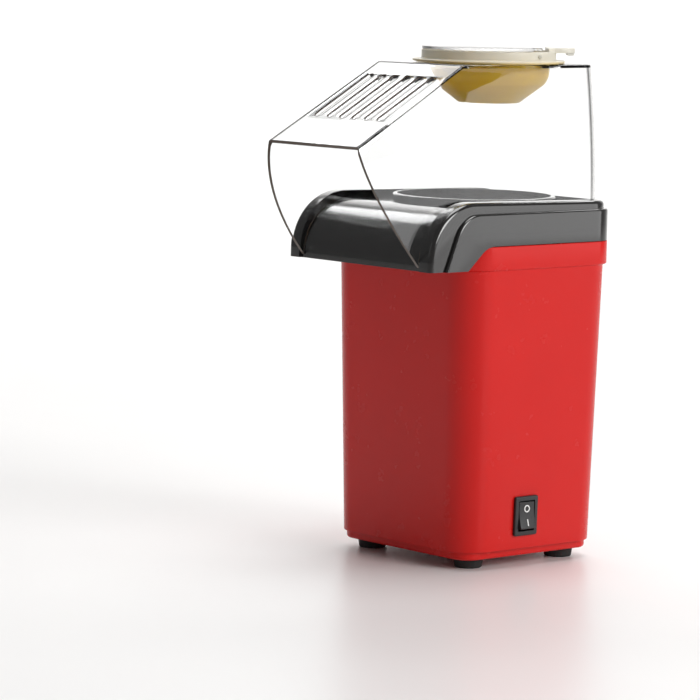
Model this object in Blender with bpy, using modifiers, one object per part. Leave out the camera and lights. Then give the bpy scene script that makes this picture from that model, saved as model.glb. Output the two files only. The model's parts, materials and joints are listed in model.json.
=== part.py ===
"""A hot-air popcorn maker: red housing, black chute deck, clear hood and a lidded butter cup.

Frame: +X is the switch side, -Y is the chute's mouth, +Z is up, and the feet stand on z = 0.
Every piece hangs on the empty "popcorn_maker", whose origin is the axis of the popping chamber.
Sizes are in metres, written as millimetres times MM.
"""

import math

import bmesh
import bpy
from mathutils import Matrix, Vector

MM = 0.001

# ---- clearances
GAP = 0.3 * MM            # between two pieces that rest on each other
FIT = 0.35 * MM           # round a piece that sits in another one
RUN = 0.08 * MM           # radial clearance of a shaft or pin that turns

# ---- housing shell
SHELL_WIDTH = 115.0 * MM          # outside, just under the shoulder
SHELL_DEPTH = 105.0 * MM
SHELL_CORNER = 17.0 * MM
SHELL_WALL = 2.2 * MM
SHELL_BOTTOM = 9.6 * MM
STEP_HEIGHT = 158.4 * MM          # underside of the proud shoulder band
SHOULDER_TOP = STEP_HEIGHT + 12.2 * MM
SHOULDER_PROUD = 1.5 * MM
STEP_RISE = 1.2 * MM              # height over which the wall steps out
DRAFT = 3.5 * MM                  # how far each wall leans in from the step to the bottom

# ---- chute deck
DECK_TOP = STEP_HEIGHT + 35.2 * MM   # top of the lip that runs round the hood
DECK_FLOOR = DECK_TOP - 4.0 * MM
DECK_PLATE = 2.5 * MM
LIP_INSET = 2.0 * MM              # the lip stands this far inside the cheeks
LIP_FALL = 1.6 * MM               # the lip sinks by this much from the nose to the rear
CHEEK_TOP = DECK_TOP - 5.8 * MM
NOSE_CENTRE_Y = -49.5 * MM        # centre of the round nose, in side view
NOSE_RADIUS = 30.5 * MM
CHEEK_RADIUS = 16.5 * MM
CHEEK_NOSE_Y = -47.5 * MM
CHEEK_LEAN = math.radians(22.5)   # the cheek's front edge leans back by this much
NOSE_TAPER = 1.0 * MM             # each cheek draws in by this much at the nose
SKIRT_FRONT_Y = -55.6 * MM        # where the cheek's lower edge starts to climb
SKIRT_SLOPE = math.radians(42.0)
SKIRT_BEND = 13.0 * MM            # radius where the climb runs out into the level rear part
TROUGH_HALF = 48.2 * MM           # inner face of the lip
TROUGH_CORNER = 9.0 * MM
TROUGH_REAR_Y = 51.0 * MM
CHUTE_RECESS = 1.5 * MM           # the chute's floor lies this far behind the nose
CHUTE_STEPS = 10                  # facets round the chute, which the hood's lower edge follows
TONGUE_DEPTH = 6.0 * MM           # how far the deck's tongue drops inside the shell
TONGUE_WALL = 1.8 * MM
COLLAR_WALL = 2.5 * MM
COLLAR_SINK = 0.5 * MM

# ---- popping chamber and hot-air duct
CHAMBER_RADIUS = 38.0 * MM
CHAMBER_WALL = 1.0 * MM
CHAMBER_FLOOR = 104.6 * MM
CHAMBER_FLANGE = 44.0 * MM
CHAMBER_CONE = 7.0 * MM
CHAMBER_VENTS = 14
VENT_HEIGHT = 12.0 * MM
VENT_WIDTH = 2.4 * MM
VENT_LEAN = math.radians(28.0)    # slants the air so that the corn is swept round
CHAMBER_HEEL = 6.0 * MM           # height of the slope between the floor and the wall
CONE_RADIUS = 12.0 * MM
GASKET_THICK = 0.8 * MM
FLANGE_THICK = 1.2 * MM
DUCT_RADIUS = 43.0 * MM
DUCT_WALL = 1.0 * MM
DUCT_BOTTOM = 50.6 * MM
DUCT_FLANGE = 45.5 * MM
DUCT_FLANGE_THICK = 1.6 * MM
EAR_REACH = 35.0 * MM             # x and y of the four fixing ears
EAR_RADIUS = 5.0 * MM
PILOT_SKIN = 0.8 * MM             # left of the deck's floor above each screw
BOSS_STEP = 0.5 * MM              # the deck's bosses are this much slimmer than the ears
SCREW_SHANK = 1.25 * MM
SCREW_HEAD = 2.8 * MM
SCREW_HEAD_HEIGHT = 2.0 * MM
DUCT_SCREW_LENGTH = 6.0 * MM

# ---- heater
MICA_THICK = 1.2 * MM
MICA_LOW = 74.6 * MM
MICA_HIGH = 98.6 * MM
COIL_HEIGHT = 90.6 * MM
COIL_TUBE = 3.2 * MM              # radius of the winding
COIL_FACETS = 8                   # points for each turn of the winding
MAIN_COIL_TURNS = 30
DROPPER_COIL_TURNS = 14
WIRE_RADIUS = 0.5 * MM
MAIN_COIL_RING = 28.0 * MM
DROPPER_COIL_RING = 14.0 * MM
THERMOSTAT_HEIGHT = 124.6 * MM
THERMOSTAT_RADIUS = 6.0 * MM
THERMOSTAT_DEPTH = 4.5 * MM
FUSE_RADIUS = 1.8 * MM
FUSE_LOW = 104.6 * MM
FUSE_HIGH = 115.6 * MM
FUSE_LEAD = 8.0 * MM

# ---- motor and fan
MOTOR_RADIUS = 13.9 * MM
MOTOR_LOW = 20.6 * MM
MOTOR_HIGH = 45.6 * MM
MOTOR_WALL = 1.2 * MM
SHAFT_RADIUS = 1.15 * MM
SHAFT_BORE = 4.0 * MM             # hole that the shaft passes through with room to spare
SPIDER_THICK = 2.2 * MM
SPIDER_ARMS = 4
SPIDER_ARM_HALF = 3.0 * MM
SPIDER_RIM = 5.0 * MM
BEARING_RADIUS = 3.2 * MM
BEARING_HEIGHT = 3.5 * MM
MAGNET_THICK = 2.25 * MM
MAGNET_SPAN = 110                 # degrees
MOTOR_SCREW_X = 8.0 * MM
BOARD_HALF_X = 11.0 * MM
BOARD_HALF_Y = 9.0 * MM
BOARD_THICK = 1.5 * MM
DIODE_PITCH = 5.0 * MM
DIODE_RADIUS = 1.5 * MM
DIODE_LENGTH = 7.0 * MM
FAN_RADIUS = 29.0 * MM
FAN_HUB = 7.0 * MM
FAN_LOW = 55.1 * MM
FAN_HEIGHT = 11.0 * MM
FAN_BLADES = 7
BLADE_CHORD = 13.0 * MM
BLADE_THICK = 1.2 * MM
BLADE_PITCH = math.radians(38.0)

# ---- base, feet and screws
BASE_INSET = 3.0 * MM
BASE_LOW = 5.3 * MM
BASE_PLATE = 2.5 * MM
BASE_RIM = 6.0 * MM
FOOT_RADIUS = 8.0 * MM
FOOT_X = 38.5 * MM
FOOT_Y = 32.5 * MM
FOOT_SPIGOT = 2.6 * MM
POST_X = 46.5 * MM
POST_Y = 20.0 * MM
POST_RADIUS = 3.8 * MM
POST_TOP = 34.6 * MM
POST_WEB = 2.0 * MM
PILOT_DEPTH = 12.0 * MM
BASE_EDGE = 1.5 * MM              # bevel round the base plate's underside
BASE_WALL = 2.2 * MM
FOOT_EDGE = 1.0 * MM
BASE_SCREW_LENGTH = 18.0 * MM
INTAKE_SLOTS = 12
INTAKE_RING = 21.0 * MM
INTAKE_LENGTH = 12.0 * MM
INTAKE_WIDTH = 3.0 * MM

# ---- rocker switch, in its own frame on the right wall
SWITCH_Y = -7.6 * MM
SWITCH_Z = 27.3 * MM
BEZEL_WIDTH = 16.0 * MM
BEZEL_HEIGHT = 21.0 * MM
BEZEL_THICK = 1.8 * MM
SWITCH_BODY_WIDTH = 13.2 * MM
SWITCH_BODY_HEIGHT = 18.8 * MM
SWITCH_BODY_DEPTH = 13.0 * MM
ROCKER_WIDTH = 10.8 * MM
ROCKER_HEIGHT = 15.6 * MM
ROCKER_DEPTH = 5.0 * MM
ROCKER_CROWN = 2.6 * MM           # ridge of the rocker above its pivot
ROCKER_TILT = math.radians(9.0)   # off at rest; on is the same angle the other way
ROCKER_DISH = 0.9 * MM            # how far the rocker's face is hollowed in its middle
BEZEL_EDGE = 0.6 * MM
BLADE_PLACE = 5.5 * MM            # the two terminals, above and below the middle
BLADE_LENGTH = 7.0 * MM
BLADE_HALF_WIDTH = 2.4 * MM
BLADE_HALF_THICK = 0.4 * MM

# ---- cord gland
GLAND_HEIGHT = 30.6 * MM
GLAND_BORE = 3.6 * MM
GLAND_BODY = 5.6 * MM
GLAND_FLANGE = 8.0 * MM
GLAND_FLANGE_THICK = 1.8 * MM
GLAND_NUT_THICK = 4.0 * MM

# ---- hood
HOOD_WALL = 2.0 * MM
HOOD_TOP = DECK_TOP + 69.7 * MM
HOOD_FOLD_Y = -39.6 * MM
HOOD_LIP_Y = -111.9 * MM          # front edge of the sloping panel
HOOD_LIP_Z = DECK_TOP + 29.0 * MM
HOOD_REAR_Y = 50.0 * MM
HOOD_HALF = 47.2 * MM             # half width at the lower edge
HOOD_HALF_LIP = 35.9 * MM
HOOD_HALF_FOLD = 33.9 * MM
HOOD_HALF_REAR = 41.0 * MM
HOOD_CORNER = 9.0 * MM
HOOD_BULGE = 1.85                 # power of the walls' barrel shape
HOOD_SWEEP = 1.65                 # power of the mouth's curved side edge
VENT_SLOTS = 6
VENT_SLOT_PITCH = 9.9 * MM
VENT_SLOT_WIDTH = 4.6 * MM
VENT_SLOT_START = 0.31            # along the sloping panel, from its lip
VENT_SLOT_END = 0.84

# ---- butter cup and lid, turned in their hole as the lid's hinge is
CUP_Y = 9.0 * MM
CUP_TURN = math.radians(50.0)
CUP_MOUTH = 32.5 * MM
CUP_FOOT = 16.5 * MM
CUP_DEPTH = 21.5 * MM
CUP_WALL = 1.6 * MM
CUP_DRAFT = 1.2 * MM              # how far the bowl's neck draws in below the hood's top
CUP_NECK = 4.5 * MM
CUP_HIP_IN = 5.5 * MM             # the bowl's round lower edge, in from its mouth
CUP_HIP_HEIGHT = 6.2 * MM
CUP_FLANGE = 40.8 * MM
CUP_FLANGE_THICK = 1.4 * MM
CUP_RING = 36.0 * MM
CUP_RING_HEIGHT = 4.9 * MM
LID_THICK = 1.5 * MM
LID_CHORD = 26.0 * MM             # from the cup's axis to the hinge
LID_PIN_RADIUS = 1.1 * MM
LID_BARREL = 1.9 * MM
LID_PIN_DROP = 2.6 * MM           # the pin's axis below the ring's top
LID_NECK = 14.5 * MM              # half width of the plate's hinge end, which swings down inside the ring
LID_NECK_START = 3.5 * MM         # the plate narrows to its neck this far ahead of the pin
HANDLE_REACH = 46.0 * MM
HANDLE_WIDTH = 18.0 * MM
HANDLE_TIP = 4.5 * MM             # length of the thick grip at its end
HANDLE_TIP_DROP = 1.6 * MM
HANDLE_EDGE = 0.4 * MM
BRIDGE_SINK = 0.5 * MM            # the bridge runs into the ring by this much

# ---- worked out from the sizes above
HALF_WIDTH = SHELL_WIDTH / 2
HALF_DEPTH = SHELL_DEPTH / 2
SHOULDER_HALF = HALF_WIDTH + SHOULDER_PROUD
SHOULDER_BACK = HALF_DEPTH + SHOULDER_PROUD
AXIS_Y = (-HOOD_LIP_Y - SHOULDER_BACK) / 2   # puts the frame's origin under the middle of the whole object
FOOT_HEIGHT = BASE_LOW - GAP
DECK_UNDER = DECK_FLOOR - DECK_PLATE
GASKET_TOP = DECK_UNDER - GAP
CHAMBER_TOP = GASKET_TOP - GASKET_THICK - GAP
DUCT_TOP = CHAMBER_TOP - FLANGE_THICK - GAP
HOLE_RADIUS = CHAMBER_RADIUS + 3.0 * MM
CHUTE_RADIUS = NOSE_RADIUS - CHUTE_RECESS
CHUTE_Z = DECK_FLOOR - CHUTE_RADIUS
CUP_SEAT = HOOD_TOP + GAP
RING_TOP = CUP_SEAT + CUP_FLANGE_THICK + CUP_RING_HEIGHT
PIN_Z = RING_TOP - LID_PIN_DROP
LID_TOP = RING_TOP + GAP + LID_THICK
LID_SWING = math.hypot(LID_BARREL, LID_TOP - PIN_Z)   # the plate's hinge edge keeps this far from the pin
DRAFT_ANGLE = math.atan(DRAFT / (STEP_HEIGHT - SHELL_BOTTOM))

# ---- plain colours and finishes: (colour, roughness, metallic)
FINISHES = {
    "red_plastic": ((0.62, 0.02, 0.015), 0.25, 0.0),
    "black_gloss": ((0.015, 0.014, 0.013), 0.15, 0.0),
    "black_satin": ((0.02, 0.02, 0.02), 0.45, 0.0),
    "clear_plastic": ((0.9, 0.92, 0.92), 0.05, 0.0),
    "amber_plastic": ((0.85, 0.6, 0.08), 0.08, 0.0),
    "aluminium": ((0.8, 0.8, 0.8), 0.3, 1.0),
    "steel": ((0.55, 0.55, 0.55), 0.35, 1.0),
    "rubber": ((0.02, 0.02, 0.02), 0.8, 0.0),
    "mica": ((0.7, 0.62, 0.48), 0.6, 0.0),
    "nichrome": ((0.35, 0.3, 0.26), 0.4, 1.0),
    "bronze": ((0.6, 0.4, 0.2), 0.35, 1.0),
    "grey_plastic": ((0.35, 0.36, 0.37), 0.5, 0.0),
    "ferrite": ((0.08, 0.08, 0.085), 0.6, 0.0),
    "board": ((0.1, 0.25, 0.1), 0.5, 0.0),
    "silicone": ((0.75, 0.2, 0.15), 0.6, 0.0),
}


# ---------------------------------------------------------------- scene helpers

def start_scene():
    """Empties the scene and makes the two collections and the parent empty."""
    for obj in list(bpy.data.objects):
        bpy.data.objects.remove(obj)
    model = bpy.data.collections.new("popcorn_maker_parts")
    cutters = bpy.data.collections.new("cutters")
    bpy.context.scene.collection.children.link(model)
    bpy.context.scene.collection.children.link(cutters)
    root = bpy.data.objects.new("popcorn_maker", None)
    root.location = (0, AXIS_Y, 0)
    model.objects.link(root)
    return model, cutters, root


MODEL, CUTTERS, ROOT = start_scene()


def material(name):
    found = bpy.data.materials.get(name)
    if found:
        return found
    colour, roughness, metallic = FINISHES[name]
    made = bpy.data.materials.new(name)
    made.use_nodes = True
    shader = made.node_tree.nodes["Principled BSDF"]
    shader.inputs["Base Color"].default_value = (*colour, 1)
    shader.inputs["Roughness"].default_value = roughness
    shader.inputs["Metallic"].default_value = metallic
    made.diffuse_color = (*colour, 1)
    return made


def add_object(name, data, finish=None, parent=ROOT):
    """A part if it has a finish, and otherwise a hidden cutter."""
    obj = bpy.data.objects.new(name, data)
    obj.parent = parent
    if finish:
        MODEL.objects.link(obj)
        data.materials.append(material(finish))
    else:
        CUTTERS.objects.link(obj)
        obj.hide_render = True
        obj.display_type = "WIRE"
    return obj


def mesh_of(bm, name):
    data = bpy.data.meshes.new(name)
    bmesh.ops.recalc_face_normals(bm, faces=bm.faces)
    bm.to_mesh(data)
    bm.free()
    return data


def smooth(obj, degrees=35):
    obj.data.shade_smooth()
    obj.data.set_sharp_from_angle(angle=math.radians(degrees))


def box(name, low, high, finish=None, parent=ROOT, turn=None):
    """A box between two corners; turn is a matrix that is applied to it afterwards."""
    bm = bmesh.new()
    low, high = Vector(low), Vector(high)
    bmesh.ops.create_cube(bm, size=1)
    bmesh.ops.scale(bm, vec=high - low, verts=bm.verts)
    bmesh.ops.translate(bm, vec=(low + high) / 2, verts=bm.verts)
    if turn:
        bmesh.ops.transform(bm, matrix=turn, verts=bm.verts)
    return add_object(name, mesh_of(bm, name), finish, parent)


def cylinder(name, radius, low, high, at=(0, 0), finish=None, sides=32, parent=ROOT, top=None, turn=None):
    """An upright cylinder, or a cone where top is another radius."""
    bm = bmesh.new()
    bmesh.ops.create_cone(bm, cap_ends=True, segments=sides, radius1=radius,
                          radius2=radius if top is None else top, depth=high - low)
    bmesh.ops.translate(bm, vec=(at[0], at[1], (low + high) / 2), verts=bm.verts)
    if turn:
        bmesh.ops.transform(bm, matrix=turn, verts=bm.verts)
    return add_object(name, mesh_of(bm, name), finish, parent)


def turned(name, profile, finish=None, sides=48, at=(0, 0), parent=ROOT):
    """A closed outline of (radius, height) points, turned about its own Z axis by a Screw modifier."""
    bm = bmesh.new()
    area = sum(r * w - q * z for (r, z), (q, w) in zip(profile, profile[1:] + profile[:1]))
    if area > 0:
        profile = profile[::-1]   # the outer side runs from top to bottom, so the faces look outwards
    verts = [bm.verts.new((r, 0, z)) for r, z in profile]
    for a, b in zip(verts, verts[1:] + verts[:1]):
        if a.co.x > 1e-7 or b.co.x > 1e-7:
            bm.edges.new((a, b))
    data = bpy.data.meshes.new(name)
    bm.to_mesh(data)
    bm.free()
    obj = add_object(name, data, finish, parent)
    obj.location = (at[0], at[1], 0)
    screw = obj.modifiers.new("turn", "SCREW")
    screw.angle = math.tau
    screw.steps = sides
    screw.render_steps = sides
    screw.use_merge_vertices = True
    screw.merge_threshold = 0.00001
    return obj


def prism(name, outline, low, high, finish=None, axis="Z", parent=ROOT):
    """A flat outline, drawn as a filled 2D curve and extruded from low to high along an axis.
    The outline's points are (x, y) for Z, (y, z) for X and (x, z) for Y."""
    curve = bpy.data.curves.new(name + "_outline", "CURVE")
    curve.dimensions = "2D"
    curve.fill_mode = "BOTH"
    curve.extrude = (high - low) / 2
    spline = curve.splines.new("POLY")
    spline.points.add(len(outline) - 1)
    for point, (u, v) in zip(spline.points, outline):
        point.co = (u, v, 0, 1)
    spline.use_cyclic_u = True
    holder = bpy.data.objects.new(name + "_outline", curve)
    bpy.context.scene.collection.objects.link(holder)
    graph = bpy.context.evaluated_depsgraph_get()
    data = bpy.data.meshes.new_from_object(holder.evaluated_get(graph))
    bpy.data.objects.remove(holder)
    bm = bmesh.new()
    bm.from_mesh(data)
    bmesh.ops.translate(bm, vec=(0, 0, (low + high) / 2), verts=bm.verts)
    if axis == "X":
        bmesh.ops.transform(bm, matrix=Matrix(((0, 0, 1), (1, 0, 0), (0, 1, 0))).to_4x4(), verts=bm.verts)
    if axis == "Y":
        bmesh.ops.transform(bm, matrix=Matrix(((1, 0, 0), (0, 0, -1), (0, 1, 0))).to_4x4(), verts=bm.verts)
    bmesh.ops.remove_doubles(bm, verts=bm.verts, dist=0.000005)
    bpy.data.meshes.remove(data)
    return add_object(name, mesh_of(bm, name), finish, parent)


def join(obj, other, operation):
    modifier = obj.modifiers.new(operation.lower() + "_" + other.name, "BOOLEAN")
    modifier.operation = operation
    modifier.object = other
    modifier.solver = "EXACT"


def cut(obj, *cutters):
    for cutter in cutters:
        join(obj, cutter, "DIFFERENCE")


def add(obj, *others):
    for other in others:
        join(obj, other, "UNION")


def pivot(name, location, parent=ROOT, turn=(0, 0, 0)):
    """An empty on a joint's axis, or at the origin of a sub-assembly."""
    made = bpy.data.objects.new(name, None)
    made.location = location
    made.rotation_euler = turn
    made.parent = parent
    MODEL.objects.link(made)
    return made


# ---------------------------------------------------------------- outlines

def arc(centre, radius, start, end, steps):
    """Points on an arc, its ends included; angles in degrees."""
    points = []
    for i in range(steps + 1):
        angle = math.radians(start + (end - start) * i / steps)
        points.append((centre[0] + radius * math.cos(angle), centre[1] + radius * math.sin(angle)))
    return points


def rounded(half_x, front, back, corner, steps=5):
    """A rectangle with four round corners, anticlockwise from its right front corner."""
    points = []
    for sign_x, y, start in ((1, front, -90), (1, back, 0), (-1, back, 90), (-1, front, 180)):
        inward = corner if y == front else -corner
        centre = (sign_x * (half_x - corner), y + inward)
        points += arc(centre, corner, start, start + 90, steps)
    return points


def body_outline(height, inward=0.0, extra=0.0):
    """The shell's plan at a height under the step, drawn in by inward and grown by extra."""
    lean = DRAFT * (STEP_HEIGHT - height) / (STEP_HEIGHT - SHELL_BOTTOM)
    change = extra - inward - lean
    return rounded(HALF_WIDTH + change, -HALF_DEPTH - change, HALF_DEPTH + change, SHELL_CORNER + change)


def wall_half_width(height):
    """Outer X of the side wall at a height under the step."""
    return HALF_WIDTH - DRAFT * (STEP_HEIGHT - height) / (STEP_HEIGHT - SHELL_BOTTOM)


def wall_rear(height):
    return HALF_DEPTH - DRAFT * (STEP_HEIGHT - height) / (STEP_HEIGHT - SHELL_BOTTOM)


def loft(bm, levels):
    """Walls through closed outlines of equal point counts: each level is (outline, height)."""
    rings = []
    for outline, height in levels:
        rings.append([bm.verts.new((x, y, height)) for x, y in outline])
    loops = [[bm.edges.new((a, b)) for a, b in zip(ring, ring[1:] + ring[:1])] for ring in rings]
    for lower, upper in zip(loops, loops[1:]):
        bmesh.ops.bridge_loops(bm, edges=lower + upper)
    return rings


def skirt_climb(lift=0.0):
    """The line where the cheeks meet the shell, from the front up to its level rear part, as (y, z)."""
    rise = SHOULDER_TOP - STEP_HEIGHT
    corner = SKIRT_FRONT_Y + rise / math.tan(SKIRT_SLOPE)
    bend_y = corner + SKIRT_BEND * math.tan(SKIRT_SLOPE / 2)
    bend = arc((bend_y, SHOULDER_TOP - SKIRT_BEND + lift), SKIRT_BEND, 90 + math.degrees(SKIRT_SLOPE), 90, 4)
    return [(SKIRT_FRONT_Y, STEP_HEIGHT + lift)] + bend


# ---------------------------------------------------------------- housing

def make_shell():
    bm = bmesh.new()
    loft(bm, [
        (body_outline(SHELL_BOTTOM), SHELL_BOTTOM),
        (body_outline(STEP_HEIGHT - STEP_RISE), STEP_HEIGHT - STEP_RISE),
        (body_outline(STEP_HEIGHT, extra=SHOULDER_PROUD), STEP_HEIGHT),
        (body_outline(STEP_HEIGHT, extra=SHOULDER_PROUD), SHOULDER_TOP),
    ])
    shell = add_object("housing_shell", mesh_of(bm, "housing_shell"), "red_plastic")
    walls = shell.modifiers.new("wall", "SOLIDIFY")
    walls.thickness = SHELL_WALL
    walls.offset = -1
    walls.use_even_offset = True
    # four posts take the base screws
    for x in (-POST_X, POST_X):
        for y in (-POST_Y, POST_Y):
            tag = f"{'l' if x < 0 else 'r'}{'f' if y < 0 else 'b'}"
            foot = SHELL_BOTTOM + BASE_RIM + 2 * GAP
            reach = wall_half_width(SHELL_BOTTOM) - SHELL_WALL / 2
            post = cylinder("shell_post_" + tag, POST_RADIUS, foot, POST_TOP, (x, y), sides=16)
            side = math.copysign(1, x)
            web = box("shell_web_" + tag, (min(x, side * reach), y - POST_WEB / 2, foot),
                      (max(x, side * reach), y + POST_WEB / 2, POST_TOP))
            add(shell, post, web)
            cut(shell, cylinder("shell_pilot_" + tag, SCREW_SHANK + FIT, foot - MM, foot + PILOT_DEPTH, (x, y),
                                sides=12))
    # the front of the shoulder is cut down to the step, with a slope behind it on each side
    ahead = -HALF_DEPTH - 30 * MM
    above = SHOULDER_TOP + 10 * MM
    climb = skirt_climb()
    outline = [(ahead, STEP_HEIGHT)] + climb + [(climb[-1][0], above), (ahead, above)]
    cut(shell, prism("shell_front_cut", outline, -80 * MM, 80 * MM, axis="X"))
    reach = HALF_WIDTH + 10 * MM
    half_y = SWITCH_BODY_WIDTH / 2 + FIT
    half_z = SWITCH_BODY_HEIGHT / 2 + FIT
    cut(shell, box("switch_window", (HALF_WIDTH - 12 * MM, SWITCH_Y - half_y, SWITCH_Z - half_z),
                   (reach, SWITCH_Y + half_y, SWITCH_Z + half_z)))
    lay = Matrix.Translation((0, HALF_DEPTH, GLAND_HEIGHT)) @ Matrix.Rotation(math.pi / 2, 4, "X")
    cut(shell, cylinder("gland_hole", GLAND_BODY + FIT, -15 * MM, 15 * MM, sides=24, turn=lay))
    smooth(shell)


def make_base():
    """The base plate: an inset foot rim, a plug that fits inside the shell, and an air intake."""
    rim = SHELL_BOTTOM - GAP
    bm = bmesh.new()
    rings = loft(bm, [
        (body_outline(SHELL_BOTTOM, inward=BASE_INSET + BASE_EDGE), BASE_LOW),
        (body_outline(SHELL_BOTTOM, inward=BASE_INSET), BASE_LOW + BASE_EDGE),
        (body_outline(SHELL_BOTTOM, inward=BASE_INSET), rim),
        (body_outline(SHELL_BOTTOM, inward=BASE_INSET + 0.1 * MM), SHELL_BOTTOM + BASE_RIM),
    ])
    bm.faces.new(rings[0])
    bm.faces.new(rings[-1])
    base = add_object("base_plate", mesh_of(bm, "base_plate"), "red_plastic")
    hollow = prism("base_hollow", body_outline(SHELL_BOTTOM, inward=BASE_INSET + BASE_WALL),
                   BASE_LOW + BASE_PLATE, SHELL_BOTTOM + BASE_RIM + 5 * MM)
    cut(base, hollow)
    for i in range(INTAKE_SLOTS):
        turn = Matrix.Rotation(math.tau * i / INTAKE_SLOTS, 4, "Z")
        half = INTAKE_WIDTH / 2
        slot = box(f"intake_slot_{i}", (INTAKE_RING - INTAKE_LENGTH / 2, -half, BASE_LOW - 5 * MM),
                   (INTAKE_RING + INTAKE_LENGTH / 2, half, BASE_LOW + BASE_PLATE + 5 * MM), turn=turn)
        cut(base, slot)
    for x in (-1, 1):
        for y in (-1, 1):
            tag = f"{x}{y}"
            boss = cylinder("base_boss_" + tag, POST_RADIUS, BASE_LOW + MM, SHELL_BOTTOM + BASE_RIM,
                            (x * POST_X, y * POST_Y), sides=16)
            add(base, boss)
    for x in (-1, 1):
        for y in (-1, 1):
            tag = f"{x}{y}"
            at = (x * POST_X, y * POST_Y)
            sink = BASE_LOW + SCREW_HEAD_HEIGHT + GAP
            foot_at = (x * FOOT_X, y * FOOT_Y)
            cut(base, cylinder("base_screw_hole_" + tag, SCREW_SHANK + FIT, 0, POST_TOP, at, sides=12),
                cylinder("base_screw_sink_" + tag, SCREW_HEAD + FIT, 0, sink, at, sides=16),
                cylinder("foot_socket_" + tag, FOOT_SPIGOT + FIT, 0, POST_TOP, foot_at, sides=16))
    smooth(base)


def make_feet():
    spigot_top = BASE_LOW + BASE_PLATE + 2.0 * MM
    profile = [
        (0, 0), (FOOT_RADIUS - 2 * FOOT_EDGE, 0), (FOOT_RADIUS - FOOT_EDGE, FOOT_EDGE), (FOOT_RADIUS, FOOT_HEIGHT),
        (FOOT_SPIGOT, FOOT_HEIGHT), (FOOT_SPIGOT, spigot_top - FOOT_EDGE),
        (FOOT_SPIGOT - FOOT_EDGE, spigot_top), (0, spigot_top),
    ]
    for x, side in ((-FOOT_X, "left"), (FOOT_X, "right")):
        for y, end in ((-FOOT_Y, "front"), (FOOT_Y, "rear")):
            smooth(turned(f"foot_{end}_{side}", profile, "rubber", sides=20, at=(x, y)))


def screw(name, at, seat, length, up=True, head=SCREW_HEAD, shank=SCREW_SHANK, finish="steel"):
    """A pan-head screw whose head bears at height seat and whose shank runs up from there, or down."""
    way = 1 if up else -1
    low = seat - way * SCREW_HEAD_HEIGHT
    points = [(0, low), (head * 0.7, low), (head, seat - way * SCREW_HEAD_HEIGHT * 0.6), (head, seat),
              (shank, seat), (shank, seat + way * length * 0.85), (shank * 0.3, seat + way * length),
              (0, seat + way * length)]
    return turned(name, points, finish, sides=12, at=at)


def make_base_screws():
    for x, side in ((-POST_X, "left"), (POST_X, "right")):
        for y, end in ((-POST_Y, "front"), (POST_Y, "rear")):
            screw(f"base_screw_{end}_{side}", (x, y), BASE_LOW + SCREW_HEAD_HEIGHT, BASE_SCREW_LENGTH)


# ---------------------------------------------------------------- chute deck

def plan_with_nose(rear_half, nose_half, back, corner, taper_from, nose_y):
    """Plan of the deck: straight sides that draw in towards the nose, and round rear corners."""
    right = [(nose_half, nose_y), (rear_half, taper_from)]
    right += arc((rear_half - corner, back - corner), corner, 0, 90, 5)
    return right + [(-x, y) for x, y in reversed(right)]


def nose_profile(front_centre, radius, top, back, lean=0.0, fall=0.0):
    """Side view: top, round nose and front edge down to the lower edge, then along that to the rear."""
    nose = arc((front_centre, top - radius), radius, 90, 180 - math.degrees(lean), 8)
    end_y, end_z = nose[-1]
    low = STEP_HEIGHT + GAP
    toe = [(end_y - (end_z - low) * math.tan(lean), low)]
    return [(back, top - fall)] + nose + toe + skirt_climb(GAP) + [(back, SHOULDER_TOP + GAP)]


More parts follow.
